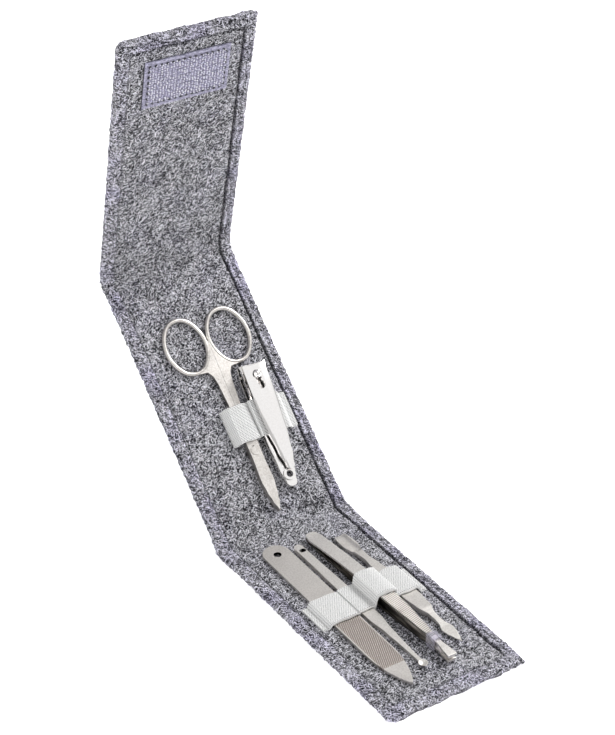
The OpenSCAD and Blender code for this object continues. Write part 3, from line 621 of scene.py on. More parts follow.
def lining_ring(s):
    near, far = s - LINING_FRONT, LINING_TOP - s
    droop = 0.2 * valley(max(near, 0), 0.3) + 0.55 * valley(max(far, 0), 0.35)
    top_x = np.concatenate([
        [LINING_RIGHT - 0.02, LINING_RIGHT - 0.14, LINING_RIGHT - 0.4], np.linspace(23.8, -24, LINING_POINTS),
        [LINING_LEFT + 0.9, LINING_LEFT + 0.4, LINING_LEFT + 0.12, LINING_LEFT]])
    top_z = np.full(len(top_x), FELT_T)
    top_z[:3] = [FELT_T - 0.5, FELT_T - 0.16, FELT_T - 0.02]
    top_z[-3:] = [FELT_T, FELT_T - 0.05, FELT_T - 0.15]
    low_x = np.linspace(LINING_LEFT, LINING_RIGHT, LINING_UNDER)
    top_x[:3] += 0.22 * (pulled(s, SIDE_PHASE) - 0.5) + 0.12 * math.sin(s * 0.31)
    x = np.concatenate([top_x, low_x])
    z = np.concatenate([top_z + felt_relief(top_x, s) - droop, np.full(LINING_UNDER, OUTER_T + 0.02)])
    # Painted shade: the underside is marked black, and the right edge of the lining dark down into the groove.
    hollow = np.concatenate([hollow_at(top_x, s), np.ones(LINING_UNDER)])
    hollow[:3] = np.maximum(hollow[:3], [0.9, 0.35, 0.0])
    cloth = np.stack([x + 0.05, np.full(x.shape, float(s))], -1) * MM
    return strip_point(x, np.full(x.shape, float(s)), z), cloth, hollow


def lining_piece(name, start, stop):
    start, stop = max(start, LINING_FRONT), min(stop, LINING_TOP)
    extra = [LINING_FRONT + v for v in NEAR_LINING_END] + [LINING_TOP - v for v in NEAR_LINING_END]
    return felt_piece("lining_felt_" + name, lining_ring, steps(start, stop, extra), lining_felt)


lining_pieces = [lining_piece(name, a, b) for name, (a, b) in zip(SPAN_NAMES, SPANS)]
print("faces of the lining:", [len(piece.data.polygons) for piece in lining_pieces])

# %% [markdown]
# Each strip piece keeps its place baked into its mesh; the packed parts that it stands for are listed here.

# %% The parts that the felt stands for
STANDS_FOR = [["lower_panel"], ["lower_fold"], ["middle_panel"], ["upper_fold", "flap"]]
low_lean, high_lean = math.radians(BENDS[0][1]), math.radians(BENDS[0][1] + BENDS[1][1])


def bend_with_span(piece):
    """Bakes the piece's transform into its mesh."""
    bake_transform(piece)


# %% [markdown]
# ## What repeats is grown
# Stray fibres, stitches, hooks and loops are all one small shape, many times over. A geometry node tree
# puts them on a surface or a path. Each tree ends in Realize Instances and Set Material, and its result
# is turned into a plain mesh.

# %% Geometry node helpers
GEOMETRY, COUNT, MATERIAL = "NodeSocketGeometry", "NodeSocketInt", "NodeSocketMaterial"


def grower(name, inputs):
    tree = bpy.data.node_groups.new(name, "GeometryNodeTree")
    tree.interface.new_socket("Geometry", in_out="INPUT", socket_type=GEOMETRY)
    for label, kind, value in inputs:
        socket = tree.interface.new_socket(label, in_out="INPUT", socket_type=kind)
        if value is not None:
            socket.default_value = value
    tree.interface.new_socket("Geometry", in_out="OUTPUT", socket_type=GEOMETRY)
    return tree, add(tree, "NodeGroupInput"), add(tree, "NodeGroupOutput")


def finish_tree(tree, ins, outs, source):
    """Makes the instances real and gives them their material."""
    real = add(tree, "GeometryNodeRealizeInstances")
    paint = add(tree, "GeometryNodeSetMaterial")
    smooth = add(tree, "GeometryNodeSetShadeSmooth")
    wire(tree, source, real.inputs["Geometry"])
    wire(tree, real.outputs["Geometry"], smooth.inputs["Geometry"])
    wire(tree, smooth.outputs["Geometry"], paint.inputs["Geometry"])
    wire(tree, ins.outputs["Material"], paint.inputs["Material"])
    wire(tree, paint.outputs["Geometry"], outs.inputs["Geometry"])


def grown(name, host, tree, **values):
    """Runs the tree on a copy of the host. The result comes back as a plain mesh piece."""
    carrier = bpy.data.objects.new(name + "_host", host.data.copy())
    bpy.context.scene.collection.objects.link(carrier)
    modifier = carrier.modifiers.new("grow", "NODES")
    modifier.node_group = tree
    for item in tree.interface.items_tree:
        label = item.name.replace(" ", "_")
        if item.item_type == "SOCKET" and item.in_out == "INPUT" and label in values:
            modifier[item.identifier] = values[label]
    bpy.context.view_layer.update()
    mesh = bpy.data.meshes.new_from_object(carrier.evaluated_get(bpy.context.evaluated_depsgraph_get()))
    mesh.name = name
    bpy.data.objects.remove(carrier)
    piece = bpy.data.objects.new(name, mesh)
    bpy.context.scene.collection.objects.link(piece)
    print(name, "triangles:", sum(len(p.vertices) - 2 for p in mesh.polygons))
    return piece


def bowed_thread(tree, ins, bow_points, parts, stretch, radius, sides, caps):
    """A short round thread on a bow. stretch names the inputs that scale it in x, y and z."""
    bow = add(tree, "GeometryNodeCurveQuadraticBezier")
    bow.inputs["Resolution"].default_value = parts
    for label, point in zip(("Start", "Middle", "End"), bow_points):
        bow.inputs[label].default_value = point
    size = add(tree, "ShaderNodeCombineXYZ")
    for axis, label in zip("XYZ", stretch):
        wire(tree, ins.outputs[label], size.inputs[axis])
    scaled = add(tree, "GeometryNodeTransform")
    wire(tree, bow.outputs[0], scaled.inputs["Geometry"])
    wire(tree, size.outputs[0], scaled.inputs["Scale"])
    ring = add(tree, "GeometryNodeCurvePrimitiveCircle")
    ring.inputs["Resolution"].default_value = sides
    wire(tree, ins.outputs[radius], ring.inputs["Radius"])
    thread = add(tree, "GeometryNodeCurveToMesh")
    thread.inputs["Fill Caps"].default_value = caps
    wire(tree, scaled.outputs["Geometry"], thread.inputs["Curve"])
    wire(tree, ring.outputs[0], thread.inputs["Profile Curve"])
    return thread.outputs["Mesh"]


def instances(tree, points, thread, rotation):
    put = add(tree, "GeometryNodeInstanceOnPoints")
    wire(tree, points, put.inputs["Points"])
    wire(tree, thread, put.inputs["Instance"])
    wire(tree, rotation, put.inputs["Rotation"])
    return put


def path_object(name, lines, closed=False):
    """A curve object with one straight-pointed spline for each line of points."""
    curve = bpy.data.curves.new(name, "CURVE")
    curve.dimensions = "3D"
    for line in lines:
        spline = curve.splines.new("POLY")
        spline.points.add(len(line) - 1)
        spline.points.foreach_set("co", [c for p in line for c in (*p, 1.0)])
        spline.use_cyclic_u = closed
    return bpy.data.objects.new(name, curve)


# %% [markdown]
# Felt has no clean outline: loose fibres stand off it everywhere. They could be hair, but hair doesn't
# leave Blender. Here each one is a thin bowed thread, scattered on the faces that show. A face that lies
# in a seam's hollow gets fewer. Every fibre keeps a random shade between near black and near white.

# %% Stray fibres
def fuzz_tree():
    tree, ins, outs = grower("stray_fibres", [
        ("Density", FLOAT, 600000.0), ("Length", FLOAT, 0.0013), ("Thickness", FLOAT, 0.0001),
        ("Rise", FLOAT, 0.00022), ("Seed", COUNT, 3), ("Material", MATERIAL, None)])
    fuzzy = add(tree, "GeometryNodeInputNamedAttribute", data_type="FLOAT")
    fuzzy.inputs["Name"].default_value = "fuzzy"
    scatter = add(tree, "GeometryNodeDistributePointsOnFaces", distribute_method="RANDOM")
    wire(tree, ins.outputs["Geometry"], scatter.inputs["Mesh"])
    wire(tree, times(tree, ins.outputs["Density"], fuzzy.outputs["Attribute"]), scatter.inputs["Density"])
    wire(tree, ins.outputs["Seed"], scatter.inputs["Seed"])
    fibre = bowed_thread(tree, ins, ((-0.5, 0, -0.1), (0, 0.14, 1.0), (0.5, 0.05, 0.15)), 2,
                         ("Length", "Length", "Rise"), "Thickness", 3, False)
    spin = add(tree, "FunctionNodeRandomValue", data_type="FLOAT_VECTOR")
    spin.inputs["Min"].default_value = (-0.15, -0.15, 0)
    spin.inputs["Max"].default_value = (0.15, 0.15, 6.283)
    wire(tree, ins.outputs["Seed"], spin.inputs["Seed"])
    stand = add(tree, "FunctionNodeRotateRotation", rotation_space="LOCAL")
    wire(tree, scatter.outputs["Rotation"], stand.inputs["Rotation"])
    wire(tree, spin.outputs["Value"], stand.inputs["Rotate By"])
    grade = add(tree, "FunctionNodeRandomValue", data_type="FLOAT")
    grade.inputs[2].default_value = 0.5
    grade.inputs[3].default_value = 1.3
    put = instances(tree, scatter.outputs["Points"], fibre, stand.outputs["Rotation"])
    wire(tree, grade.outputs[1], put.inputs["Scale"])
    shade = add(tree, "FunctionNodeRandomValue", data_type="FLOAT")
    keep = add(tree, "GeometryNodeStoreNamedAttribute", data_type="FLOAT", domain="INSTANCE")
    keep.inputs["Name"].default_value = "shade"
    wire(tree, put.outputs["Instances"], keep.inputs["Geometry"])
    wire(tree, shade.outputs[1], keep.inputs["Value"])
    finish_tree(tree, ins, outs, keep.outputs["Geometry"])
    return tree


stray_fibres = fuzz_tree()


def fibre_material(name, light):
    """Single fibres are either near black, grey or near white, never all alike."""
    made, tree, shader, _ = new_material(name, Roughness=0.9)
    shade = add(tree, "ShaderNodeAttribute", attribute_name="shade")
    ramp = add(tree, "ShaderNodeValToRGB")
    dark_end, light_end = ramp.color_ramp.elements
    dark_end.position, dark_end.color = 0.5, (0.004, 0.004, 0.006, 1)
    light_end.position, light_end.color = 0.82, light
    wire(tree, shade.outputs["Fac"], ramp.inputs["Fac"])
    wire(tree, ramp.outputs["Color"], shader.inputs["Base Color"])
    return made


fibre_materials = {"outer": fibre_material("outer_fibre", (0.85, 0.83, 0.96, 1)),
                   "lining": fibre_material("lining_fibre", (0.86, 0.855, 0.91, 1))}
FIBRE_DENSITY = {"outer": 1180000.0, "lining": 1000000.0}  # for a square metre
print("stray_fibres nodes:", len(stray_fibres.nodes))

# %% Which faces get fibres
def mark_fuzzy(piece, lining):
    """Faces that show get fibres. Faces inside the case and under the lower panel don't."""
    mesh = piece.data
    count = len(mesh.polygons)
    centre = np.empty(count * 3)
    normal = np.empty(count * 3)
    mesh.polygons.foreach_get("center", centre)
    mesh.polygons.foreach_get("normal", normal)
    centre, normal = centre.reshape(-1, 3) / MM, normal.reshape(-1, 3)
    lean = np.where(centre[:, 1] < 60, 0, np.where(centre[:, 2] > 84, high_lean, low_lean))
    up = -np.sin(lean) * normal[:, 1] + np.cos(lean) * normal[:, 2]
    if lining:
        hidden = up < 0.3
    else:
        hidden = (np.abs(centre[:, 0]) < 25.65) & (up > 0.3)
        hidden |= (centre[:, 1] < 55) & (normal[:, 2] < -0.3)
    ends = (centre[:, 1] < FRONT_IN + 0.3 - LOWER / 2) | (centre[:, 2] > strip_point(0, TOP_IN, FELT_T)[2] / MM)
    hidden &= ~(ends & (up > 0.3))
    hollow = np.empty(len(mesh.vertices))
    corner, first = np.empty(len(mesh.loops), np.int32), np.empty(count, np.int32)
    mesh.attributes["hollow"].data.foreach_get("value", hollow)
    mesh.loops.foreach_get("vertex_index", corner)
    mesh.polygons.foreach_get("loop_start", first)
    bare = np.clip(1.6 * np.maximum.reduceat(hollow[corner], first), 0, 1)
    layer = mesh.attributes.new("fuzzy", "FLOAT", "FACE")
    layer.data.foreach_set("value", np.where(hidden, 0.0, 1.0 - bare).astype(np.float32))


fuzz_pieces = []
for span, name in enumerate(SPAN_NAMES):
    for kind, pieces in (("outer", outer_pieces), ("lining", lining_pieces)):
        mark_fuzzy(pieces[span], kind == "lining")
        fuzz = grown("fuzz_%s_%s" % (kind, name), pieces[span], stray_fibres,
                     Seed=span * 2 + (kind == "lining"), Density=FIBRE_DENSITY[kind],
                     Material=fibre_materials[kind])
        fuzz_pieces.append((fuzz, span, kind))

# %% [markdown]
# Stitches are short threads that dive into the felt at both ends. The tree walks a path, drops one
# stitch at each step and turns it along the path.

# %% Stitches
def stitch_tree():
    tree, ins, outs = grower("stitch_run", [
        ("Spacing", FLOAT, 0.0027), ("Stitch Length", FLOAT, 0.0017), ("Thread", FLOAT, 0.00022),
        ("Material", MATERIAL, None)])
    walk = add(tree, "GeometryNodeCurveToPoints", mode="LENGTH")
    wire(tree, ins.outputs["Geometry"], walk.inputs["Curve"])
    wire(tree, ins.outputs["Spacing"], walk.inputs["Length"])
    thread = bowed_thread(tree, ins, ((0, 0, -0.5), (0.35, 0, 0), (0, 0, 0.5)), 6,
                          ["Stitch Length"] * 3, "Thread", 7, True)
    put = instances(tree, walk.outputs["Points"], thread, walk.outputs["Rotation"])
    finish_tree(tree, ins, outs, put.outputs["Instances"])
    return tree


stitch_run = stitch_tree()


def stitched(name, lines, closed=False, **values):
    """Stitches along each line of points."""
    path = path_object(name + "_path", lines, closed)
    made = grown(name, path, stitch_run, **values)
    bpy.data.objects.remove(path)
    return made


# %% Threads and seams
def thread_material(name, color):
    made, tree, shader, where = new_material(name, Roughness=0.7, Base_Color=color, Sheen_Weight=0.2)
    twist = noise(tree, placed(tree, where, (0.6, 0.6, 0.6), (1, 0.2, 1)), 9000, 1, 0.5)
    shaded, lit = (tuple(min(c * share, 1) for c in color[:3]) + (1,) for share in (0.6, 1.4))
    wire(tree, mixed(tree, twist, shaded, lit), shader.inputs["Base Color"])
    bumped(tree, shader, twist, 0.5, 0.0001)
    return made


grey_thread = thread_material("grey_thread", (0.12, 0.12, 0.14, 1))
black_thread = thread_material("black_thread", (0.015, 0.015, 0.02, 1))
white_thread = thread_material("white_thread", (0.75, 0.75, 0.76, 1))

SEAM_STEP, SEAM_END = 0.9, 6.5
seam_pieces = []
for span, (name, (a, b)) in enumerate(zip(SPAN_NAMES, SPANS)):
    s = np.arange(max(a, SEAM_END), min(b, END - SEAM_END), SEAM_STEP)
    lines = [strip_point(x, s, FELT_T + felt_relief(np.full(s.shape, x), s) + 0.02)
             for x in (RIGHT_SEAM, LEFT_IN + 0.15)]
    if name == "front":
        x = np.arange(-24, 27, SEAM_STEP)
        lines.append(strip_point(x, FRONT_IN - 0.1, (FELT_T + felt_relief(x, FRONT_IN)) * 0.99))
    if name == "flap":
        x = np.arange(-26, 28, SEAM_STEP)
        lines.append(strip_point(x, TOP_SEAM, FELT_T + felt_relief(x, TOP_SEAM) - 0.05))
    seam_pieces.append((stitched("seam_" + name, lines, Material=grey_thread, Thread=0.00017), span))

# %% [markdown]
# ## Elastic bands
# Each band is one woven elastic, sewn down between the tools so that it stands up in a tunnel over each
# one. Its upper face has fine ribs along its length. The tunnels have the same places as in the packed
# part, with rounded crowns, because stretched elastic is never flat on top.

# %% Tunnels in the elastic
ELASTIC_T, ELASTIC_W, ROOM = 0.7, 16.0, 0.3
LOWER_BAND, MIDDLE_BAND = 53.3, 39.0  # where each band starts on its panel
RIB = 0.6


def tunnel(x, spec, far):
    """The height of one tunnel. A spec has where it starts, is up, goes down and ends, and two heights."""
    start, up, down, end, near_rise, far_rise = spec
    rise = near_rise + (far_rise - near_rise) * far
    return rise * (eased((x - start) / (up - start)) * eased((end - x) / (end - down)))


def around(x, w, top, left, right):
    """The tunnel over a tool at x that is w wide and top high, with a slope on either side."""
    return [x - w / 2 - ROOM - left, x - w / 2 - ROOM, x + w / 2 + ROOM, x + w / 2 + ROOM + right,
            top + ROOM, top + ROOM]


def grown_spec(spec, t):
    return [value + t * way for value, way in zip(spec, (-1, -1, 1, 1, 1, 1))]


LOWER_SPECS = [around(-13.4, 11.4, 1.5, 2.2, 0.5), around(-3.9, 5.4, 2.1, 0.5, 0.5),
               around(5.2, 6.8, 6.1, 2.2, 0.9), around(15.3, 7.6, 2.6, 0.5, 2.6)]
MIDDLE_SPECS = [[-5.7, -3.357, 4.1, 4.7, 3.7, 3.7], [5.65, 6.25, 18.05, 22.55, 4.386, 5.505]]

# %% Rings along a band
BAND_STEP, BAND_POINTS, UNDER_EVERY, MIDDLE_POINT = 0.25, 109, 4, 30


def band_rings(x_from, x_to, specs, crowns, start, panel_s):
    """Rings across the band, one for each step along it, with each point's place on the cloth."""
    across = np.linspace(0, ELASTIC_W, BAND_POINTS)
    centre, far, edge = ELASTIC_W / 2, across / ELASTIC_W, np.minimum(across, ELASTIC_W - across)
    low = slice(None, None, -UNDER_EVERY)
    rings, places, slopes, run, before, last = [], [], [], 0.0, None, None
    for x in np.arange(x_from, x_to + 0.01, BAND_STEP):
        under = np.max([tunnel(x, spec, far) for spec in specs], 0)
        over = np.max([tunnel(x, grown_spec(spec, ELASTIC_T), far) for spec in specs], 0)
        crown = sum(c * max(0, 1 - ((x - (q[0] + q[3]) / 2) / ((q[3] - q[0]) / 2)) ** 2)
                    for q, c in zip(specs, crowns))
        over = np.maximum(over + crown, ELASTIC_T)
        tight = 1 - 0.035 * np.exp(-np.max(over) ** 2 / 1.5)
        lift = 0.07 * np.cos(2 * math.pi * across / RIB)
        over = over + lift - 0.22 * np.exp(-(edge / 0.25) ** 2)
        wander = 0.12 * math.sin(x * 0.9) + 0.05 * math.sin(x * 6.1)
        s = start + centre + (across - centre) * tight + wander * (across - centre) / centre
        ring_s = np.concatenate([s, s[low]])
        ring_z = np.concatenate([over, np.minimum(under, over - 0.45)[low]])
        ring = strip_point(np.full(ring_s.shape, x), panel_s + ring_s, FELT_T + ring_z)
        if before is not None:
            run += float(np.linalg.norm(ring[MIDDLE_POINT] - before))
        before = ring[MIDDLE_POINT]
        height = float(np.mean(over))
        slope = 0.0 if last is None else min(abs(height - last) / BAND_STEP, 1.5)
        rings.append(ring)
        places.append(np.stack([np.full(ring_s.shape, run), np.concatenate([across, across[low]]) * MM], -1))
        slopes.append(np.full(ring_s.shape, slope))
        last = height
    return np.array(rings), np.array(places), np.array(slopes)


def woven_piece(name, rings, places, slopes, material):
    return swept(name, rings, material, 60, places, {"stretch": np.clip(slopes / 1.2, 0, 1)})


# %% [markdown]
# The elastic's weave is a rib every 0.6 mm, crossed by small knots where the rubber threads pull the
# yarn in. It is drawn on the band's own cloth coordinates, so it climbs over the tunnels. Where the
# band slopes over an edge, its colour is lifted towards white as painted light on the shaded walls, and
# dark ladder gaps are painted there, partly the opened weave and partly the shade seen through it.

# %% Elastic material
def waves(tree, value, length, phase=0.0):
    return maths(tree, "SINE", maths(tree, "MULTIPLY_ADD", value, 2 * math.pi / length, phase))


KNOT, LADDER = 0.00085, 0.0011
elastic_cloth, elastic, shader, _ = new_material(
    "elastic_cloth", Roughness=0.75, Sheen_Weight=0.3, Sheen_Roughness=0.4)
flat_place = add(elastic, "ShaderNodeUVMap", uv_map="cloth").outputs[0]
stretch = add(elastic, "ShaderNodeAttribute", attribute_name="stretch").outputs["Fac"]
split = add(elastic, "ShaderNodeSeparateXYZ")
wire(elastic, flat_place, split.inputs[0])
along, sideway = split.outputs["X"], split.outputs["Y"]
ribs = waves(elastic, sideway, RIB * MM, math.pi / 2)
knots = times(elastic, waves(elastic, along, KNOT), waves(elastic, sideway, 2 * RIB * MM))
yarn = noise(elastic, placed(elastic, flat_place, scale=(0.3, 1, 1)), 4200, 2, 0.6)
weave = plus(elastic, times(elastic, ribs, 0.75), times(elastic, knots, 0.45))
weave = plus(elastic, weave, times(elastic, yarn, 1.2))
shown = mixed(elastic, between(elastic, weave, -0.3, 0.75), (0.06, 0.06, 0.07, 1), (0.88, 0.88, 0.87, 1))
# Painted light: the steep walls are lifted towards white, so that they look lit.
shown = mixed(elastic, times(elastic, stretch, 0.7), shown, (0.94, 0.94, 0.93, 1))
# Ladder gaps on the slopes: partly the opened weave, partly painted shade seen through it.
rungs = between(elastic, waves(elastic, along, LADDER), 0.0, 0.8)
gap = times(elastic, times(elastic, rungs, between(elastic, ribs, 0.3, -0.6)), stretch)
gap = times(elastic, gap, 0.75)
wire(elastic, mixed(elastic, gap, shown, (0.02, 0.02, 0.025, 1)), shader.inputs["Base Color"])
bumped(elastic, shader, weave, 0.6, 0.00015)
print("elastic nodes:", len(elastic.nodes))

# %% Elastic bands
lower_band = woven_piece("lower_band", *band_rings(
    -24.0, 24.4, LOWER_SPECS, (0.5, 0.35, 1.1, 0.7), LOWER_BAND, 0.0), elastic_cloth)
middle_band = woven_piece("middle_band", *band_rings(
    -6.45, 24.95, MIDDLE_SPECS, (0.6, -0.25), MIDDLE_BAND, LOWER), elastic_cloth)
print("faces of the bands:", len(lower_band.data.polygons), len(middle_band.data.polygons))


def tack_lines(places, start, panel_s):
    s = np.arange(start + 0.6, start + ELASTIC_W - 0.4, 0.5)
    return [strip_point(x, panel_s + s, FELT_T + ELASTIC_T + 0.06) for x in places]


TACK = {"Spacing": 0.0016, "Thread": 0.00013, "Material": white_thread, "Stitch_Length": 0.001}
lower_tacks = stitched("lower_band_tacks", tack_lines((-22.8, -7.15, 0.2, 10.2, 23.1), LOWER_BAND, 0.0), **TACK)
middle_tacks = stitched("middle_band_tacks", tack_lines((-6.2, 5.2, 23.7), MIDDLE_BAND, LOWER), **TACK)

# %% [markdown]
# ## Hook and loop
# The patch on the flap is hook tape: a woven base with a smooth selvedge and rows of small stiff hooks.
# Its partner under the lower panel is loop tape, soft and level with the felt.

# %% Tape
PATCH_W, PATCH_L = 38.6, 21.5
HOOK_S = END - 10.9 - PATCH_L
LOOP_S = 62.0
SELVEDGE = 1.2


def tape_rings(start, low, high, over_face):
    """Rings and shade marks of a tape that faces up (over_face) or down."""
    rings, shade = [], []
    half = PATCH_W / 2
    along = np.concatenate([[0, 0.05, 0.2, 0.5], np.linspace(1.0, PATCH_L - 1.0, 40),
                            PATCH_L - np.array([0.5, 0.2, 0.05, 0])])
    x = np.concatenate([[-half + v for v in (0, 0.06, 0.25, 0.6)], np.linspace(-half + 1, half - 1, 60),
                        [half - v for v in (0.6, 0.25, 0.06, 0)]])
    for v in along:
        inside = np.minimum(half - np.abs(x), min(v, PATCH_L - v))
        field = eased((inside - SELVEDGE) / 0.4)
        round_off = 0.3 * np.exp(-(inside / 0.12) ** 2)
        top = high - round_off - 0.12 * field + 0.03 * np.sin(x * 0.8 + v * 0.5)
        away = np.full(x.shape, start + v + 0.05 * math.sin(v * 2))
        upper = strip_point(x, away + 0.06 * np.sin(x * 0.7), top if over_face else high)
        under = strip_point(x, away + 0.06 * np.sin(x * 0.7), low if over_face else low + high - top)
        rings.append(np.concatenate([upper, under[::-1]]))
        # Painted shadow and shade: black along the left edge and under the tape, darkening its walls, and a
        # darker ground between the hooks.
        shade.append(np.concatenate([np.where(x < 0.15 - half, 1.0, 0.22 * field), np.full(len(x), 1.0)]))
    return rings, np.array(shade)


def tape_piece(name, start, low, high, over_face):
    rings, shade = tape_rings(start, low, high, over_face)
    return swept(name, rings, tape, 60, None, {"shade": shade if over_face else np.zeros(shade.shape)})


# %% Tape material and pieces
tape, tree, shader, where = new_material("tape", Roughness=0.6, Sheen_Weight=0.2)
fine = noise(tree, where, 1700, 2, 0.6)
slub = noise(tree, placed(tree, where, scale=(0.15, 1, 1)), 3800, 1, 0.5)
edge_shade = add(tree, "ShaderNodeAttribute", attribute_name="shade")
woven = mixed(tree, between(tree, plus(tree, fine, slub), 0.8, 1.2), (0.10, 0.095, 0.15, 1),
              (0.44, 0.425, 0.57, 1))
# Painted shadow and shade from the shade mark darken the left edge, the walls and the ground between the hooks.
shown = mixed(tree, edge_shade.outputs["Fac"], woven, (0.01, 0.01, 0.015, 1))
wire(tree, shown, shader.inputs["Base Color"])
bumped(tree, shader, slub, 0.5, 0.00012)
hook_tape = tape_piece("hook_tape", HOOK_S, FELT_T - 0.05, FELT_T + 0.7, True)
loop_tape = tape_piece("loop_tape", LOOP_S, 0.18, 0.9, False)

print("faces of the tapes:", len(hook_tape.data.polygons), len(loop_tape.data.polygons))

# %% [markdown]
# A hook is a stiff plastic thread bent over at its end, a loop a finer and longer one. Both are the same
# small shape on a grid of points that are pushed out of line a little.

# %% Hooks and loops
plastic_hook, tree, shader, where = new_material("plastic_hook", Roughness=0.35)
clear = between(tree, noise(tree, where, 900, 1, 0.5), 0.35, 0.65)
wire(tree, mixed(tree, clear, (0.52, 0.50, 0.68, 1), (0.97, 0.96, 1.0, 1)), shader.inputs["Base Color"])


def bristle_tree():
    tree, ins, outs = grower("bristle_field", [
        ("Field Width", FLOAT, 0.0335), ("Field Length", FLOAT, 0.0165), ("Columns", COUNT, 36),
        ("Rows", COUNT, 16), ("Bristle", FLOAT, 0.0005), ("Reach", FLOAT, 0.0004),
        ("Thickness", FLOAT, 0.00019), ("Jitter", FLOAT, 0.00028), ("Material", MATERIAL, None)])
    field = add(tree, "GeometryNodeMeshGrid")
    for label, socket in (("Field Width", "Size X"), ("Field Length", "Size Y"),
                          ("Columns", "Vertices X"), ("Rows", "Vertices Y")):
        wire(tree, ins.outputs[label], field.inputs[socket])
    move = add(tree, "FunctionNodeRandomValue", data_type="FLOAT_VECTOR")
    move.inputs["Min"].default_value = (-1, -1, 0)
    move.inputs["Max"].default_value = (1, 1, 0)
    move.inputs["Seed"].default_value = 5
    scale = add(tree, "ShaderNodeVectorMath", operation="SCALE")
    wire(tree, move.outputs["Value"], scale.inputs[0])
    wire(tree, ins.outputs["Jitter"], scale.inputs["Scale"])
    settle = add(tree, "GeometryNodeSetPosition")
    wire(tree, field.outputs["Mesh"], settle.inputs["Geometry"])
    wire(tree, scale.outputs[0], settle.inputs["Offset"])
    hook = bowed_thread(tree, ins, ((0, 0, 0), (0.1, 0, 1.9), (1, 0, 0.35)), 6,
                        ("Reach", "Reach", "Bristle"), "Thickness", 5, True)
    spin = add(tree, "FunctionNodeRandomValue", data_type="FLOAT_VECTOR")
    spin.inputs["Min"].default_value = (0, -0.15, 0.4)
    spin.inputs["Max"].default_value = (0, 0.15, 1.3)
    put = instances(tree, settle.outputs["Geometry"], hook, spin.outputs["Value"])
    finish_tree(tree, ins, outs, put.outputs["Instances"])
    return tree


bristle_field = bristle_tree()
any_host = mesh_piece("field_host", [(0, 0, 0), (MM, 0, 0), (0, MM, 0)], [(0, 1, 2)])


def lay_on_strip(piece, s, z, flip=False):
    """Moves a piece drawn round the origin in x and y onto the strip, at s and height z."""
    origin, ahead = strip_point(0, s, z), strip_point(0, s + 1, z)
    along = Vector(ahead - origin).normalized()
    across = Vector((1, 0, 0)) * (-1 if flip else 1)
    place = Matrix((across, along, across.cross(along))).transposed().to_4x4()
    place.translation = Vector(origin)
    piece.data.transform(place)
    piece.data.update()
    return piece


hooks = lay_on_strip(grown("hook_rows", any_host, bristle_field, Material=plastic_hook, Columns=27, Rows=17),
                     HOOK_S + PATCH_L / 2, FELT_T + 0.55)
loops = lay_on_strip(grown("loop_rows", any_host, bristle_field, Material=plastic_hook, Columns=44, Rows=24,
                           Bristle=0.00015, Reach=0.0009, Thickness=0.00005, Jitter=0.0005),
                     LOOP_S + PATCH_L / 2, 0.32, True)
bpy.data.objects.remove(any_host)

# %% Stitches round the patch
INSET = 2.0
side = PATCH_W / 2 - INSET
patch_path = [(-side, INSET), (side, INSET), (side, PATCH_L - INSET), (-side, PATCH_L - INSET)]
patch_line = np.array([strip_point(x, HOOK_S + v, FELT_T + 0.78) for x, v in patch_path])
patch_stitches = stitched("patch_stitches", [patch_line], True, Material=black_thread, Spacing=0.0026,
                          Stitch_Length=0.0010, Thread=0.0003)

# %% [markdown]
# ## Steel tools
# The hard parts are the imported ones. A weld and a fine bevel break their sharp corners, because a real
# edge always catches a line of light. The file and the tweezers also have cut ribs, which are drawn in
# the material with painted shade in their grooves, since they are shallower than a tenth of a millimetre.

# %% Cut ribs
def marked_steel(name, color, crest, cut_color, origin, y_from, y_to, half, cuts, hole=None):
    """Satin steel with cuts between two places of y. Each cut has a way in x and y, a pitch and a weight."""
    made, tree, shader, where = new_material(name, Metallic=1.0)
    grain = use_group(tree, steel_grain, Vector=where, Base=color, Rough=SATIN_ROUGH, Spread=SATIN_SPREAD)
    split = add(tree, "ShaderNodeSeparateXYZ")
    wire(tree, where, split.inputs[0])
    x, y = split.outputs["X"], split.outputs["Y"]
    cut = None
    for way, pitch, weight in cuts:
        run = plus(tree, times(tree, x, math.cos(way)), times(tree, y, math.sin(way)))
        wave = maths(tree, "MULTIPLY_ADD", waves(tree, run, pitch), weight, 1 - weight)
        cut = wave if cut is None else maths(tree, "MINIMUM", cut, wave)
    inside = times(tree, between(tree, y, y_from, y_from + 0.0004), between(tree, y, y_to, y_to - 0.0004))
    away = maths(tree, "ABSOLUTE", maths(tree, "SUBTRACT", x, origin))
    inside = times(tree, inside, between(tree, away, half, half - 0.0003))
    depth = times(tree, between(tree, cut, -0.5, 0.8), inside)
    plain = mixed(tree, inside, grain.outputs["Color"], crest)
    # Painted shade: the bottoms of the cuts are painted dark, as the shade in the grooves.
    ridged = mixed(tree, times(tree, maths(tree, "SUBTRACT", inside, depth), 0.85), plain, cut_color)
    wire(tree, hole_shade(tree, where, ridged, hole) if hole else ridged, shader.inputs["Base Color"])
    wire(tree, plus(tree, grain.outputs["Roughness"], times(tree, inside, 0.08)), shader.inputs["Roughness"])
    level = maths(tree, "MULTIPLY_ADD", inside, -0.5, depth)
    total = plus(tree, times(tree, level, 4.0), times(tree, grain.outputs["Height"], 0.5))
    bumped(tree, shader, total, 0.5, 0.00006)
    return made


# The file's hole gets painted shade on its wall.
FILE_HOLE = (-0.0134, 0.04287, 0.0016)
file_steel = marked_steel(
    "file_steel", (0.88, 0.845, 0.81, 1), (0.56, 0.515, 0.485, 1), (0.17, 0.135, 0.115, 1),
    -0.0134, -0.038, 0.006, 0.0053,
    [(math.radians(-47), 0.0007, 1.0), (math.radians(47), 0.0007, 0.6)], FILE_HOLE)
grip_steel = marked_steel(
    "grip_steel", (0.99, 0.96, 0.925, 1), (0.47, 0.445, 0.42, 1), (0.14, 0.13, 0.115, 1),
    0.0054, -0.036, 0.002, 0.0036, [(math.radians(103), 0.00085, 1.0)])
print("marked steel:", file_steel.name, grip_steel.name)
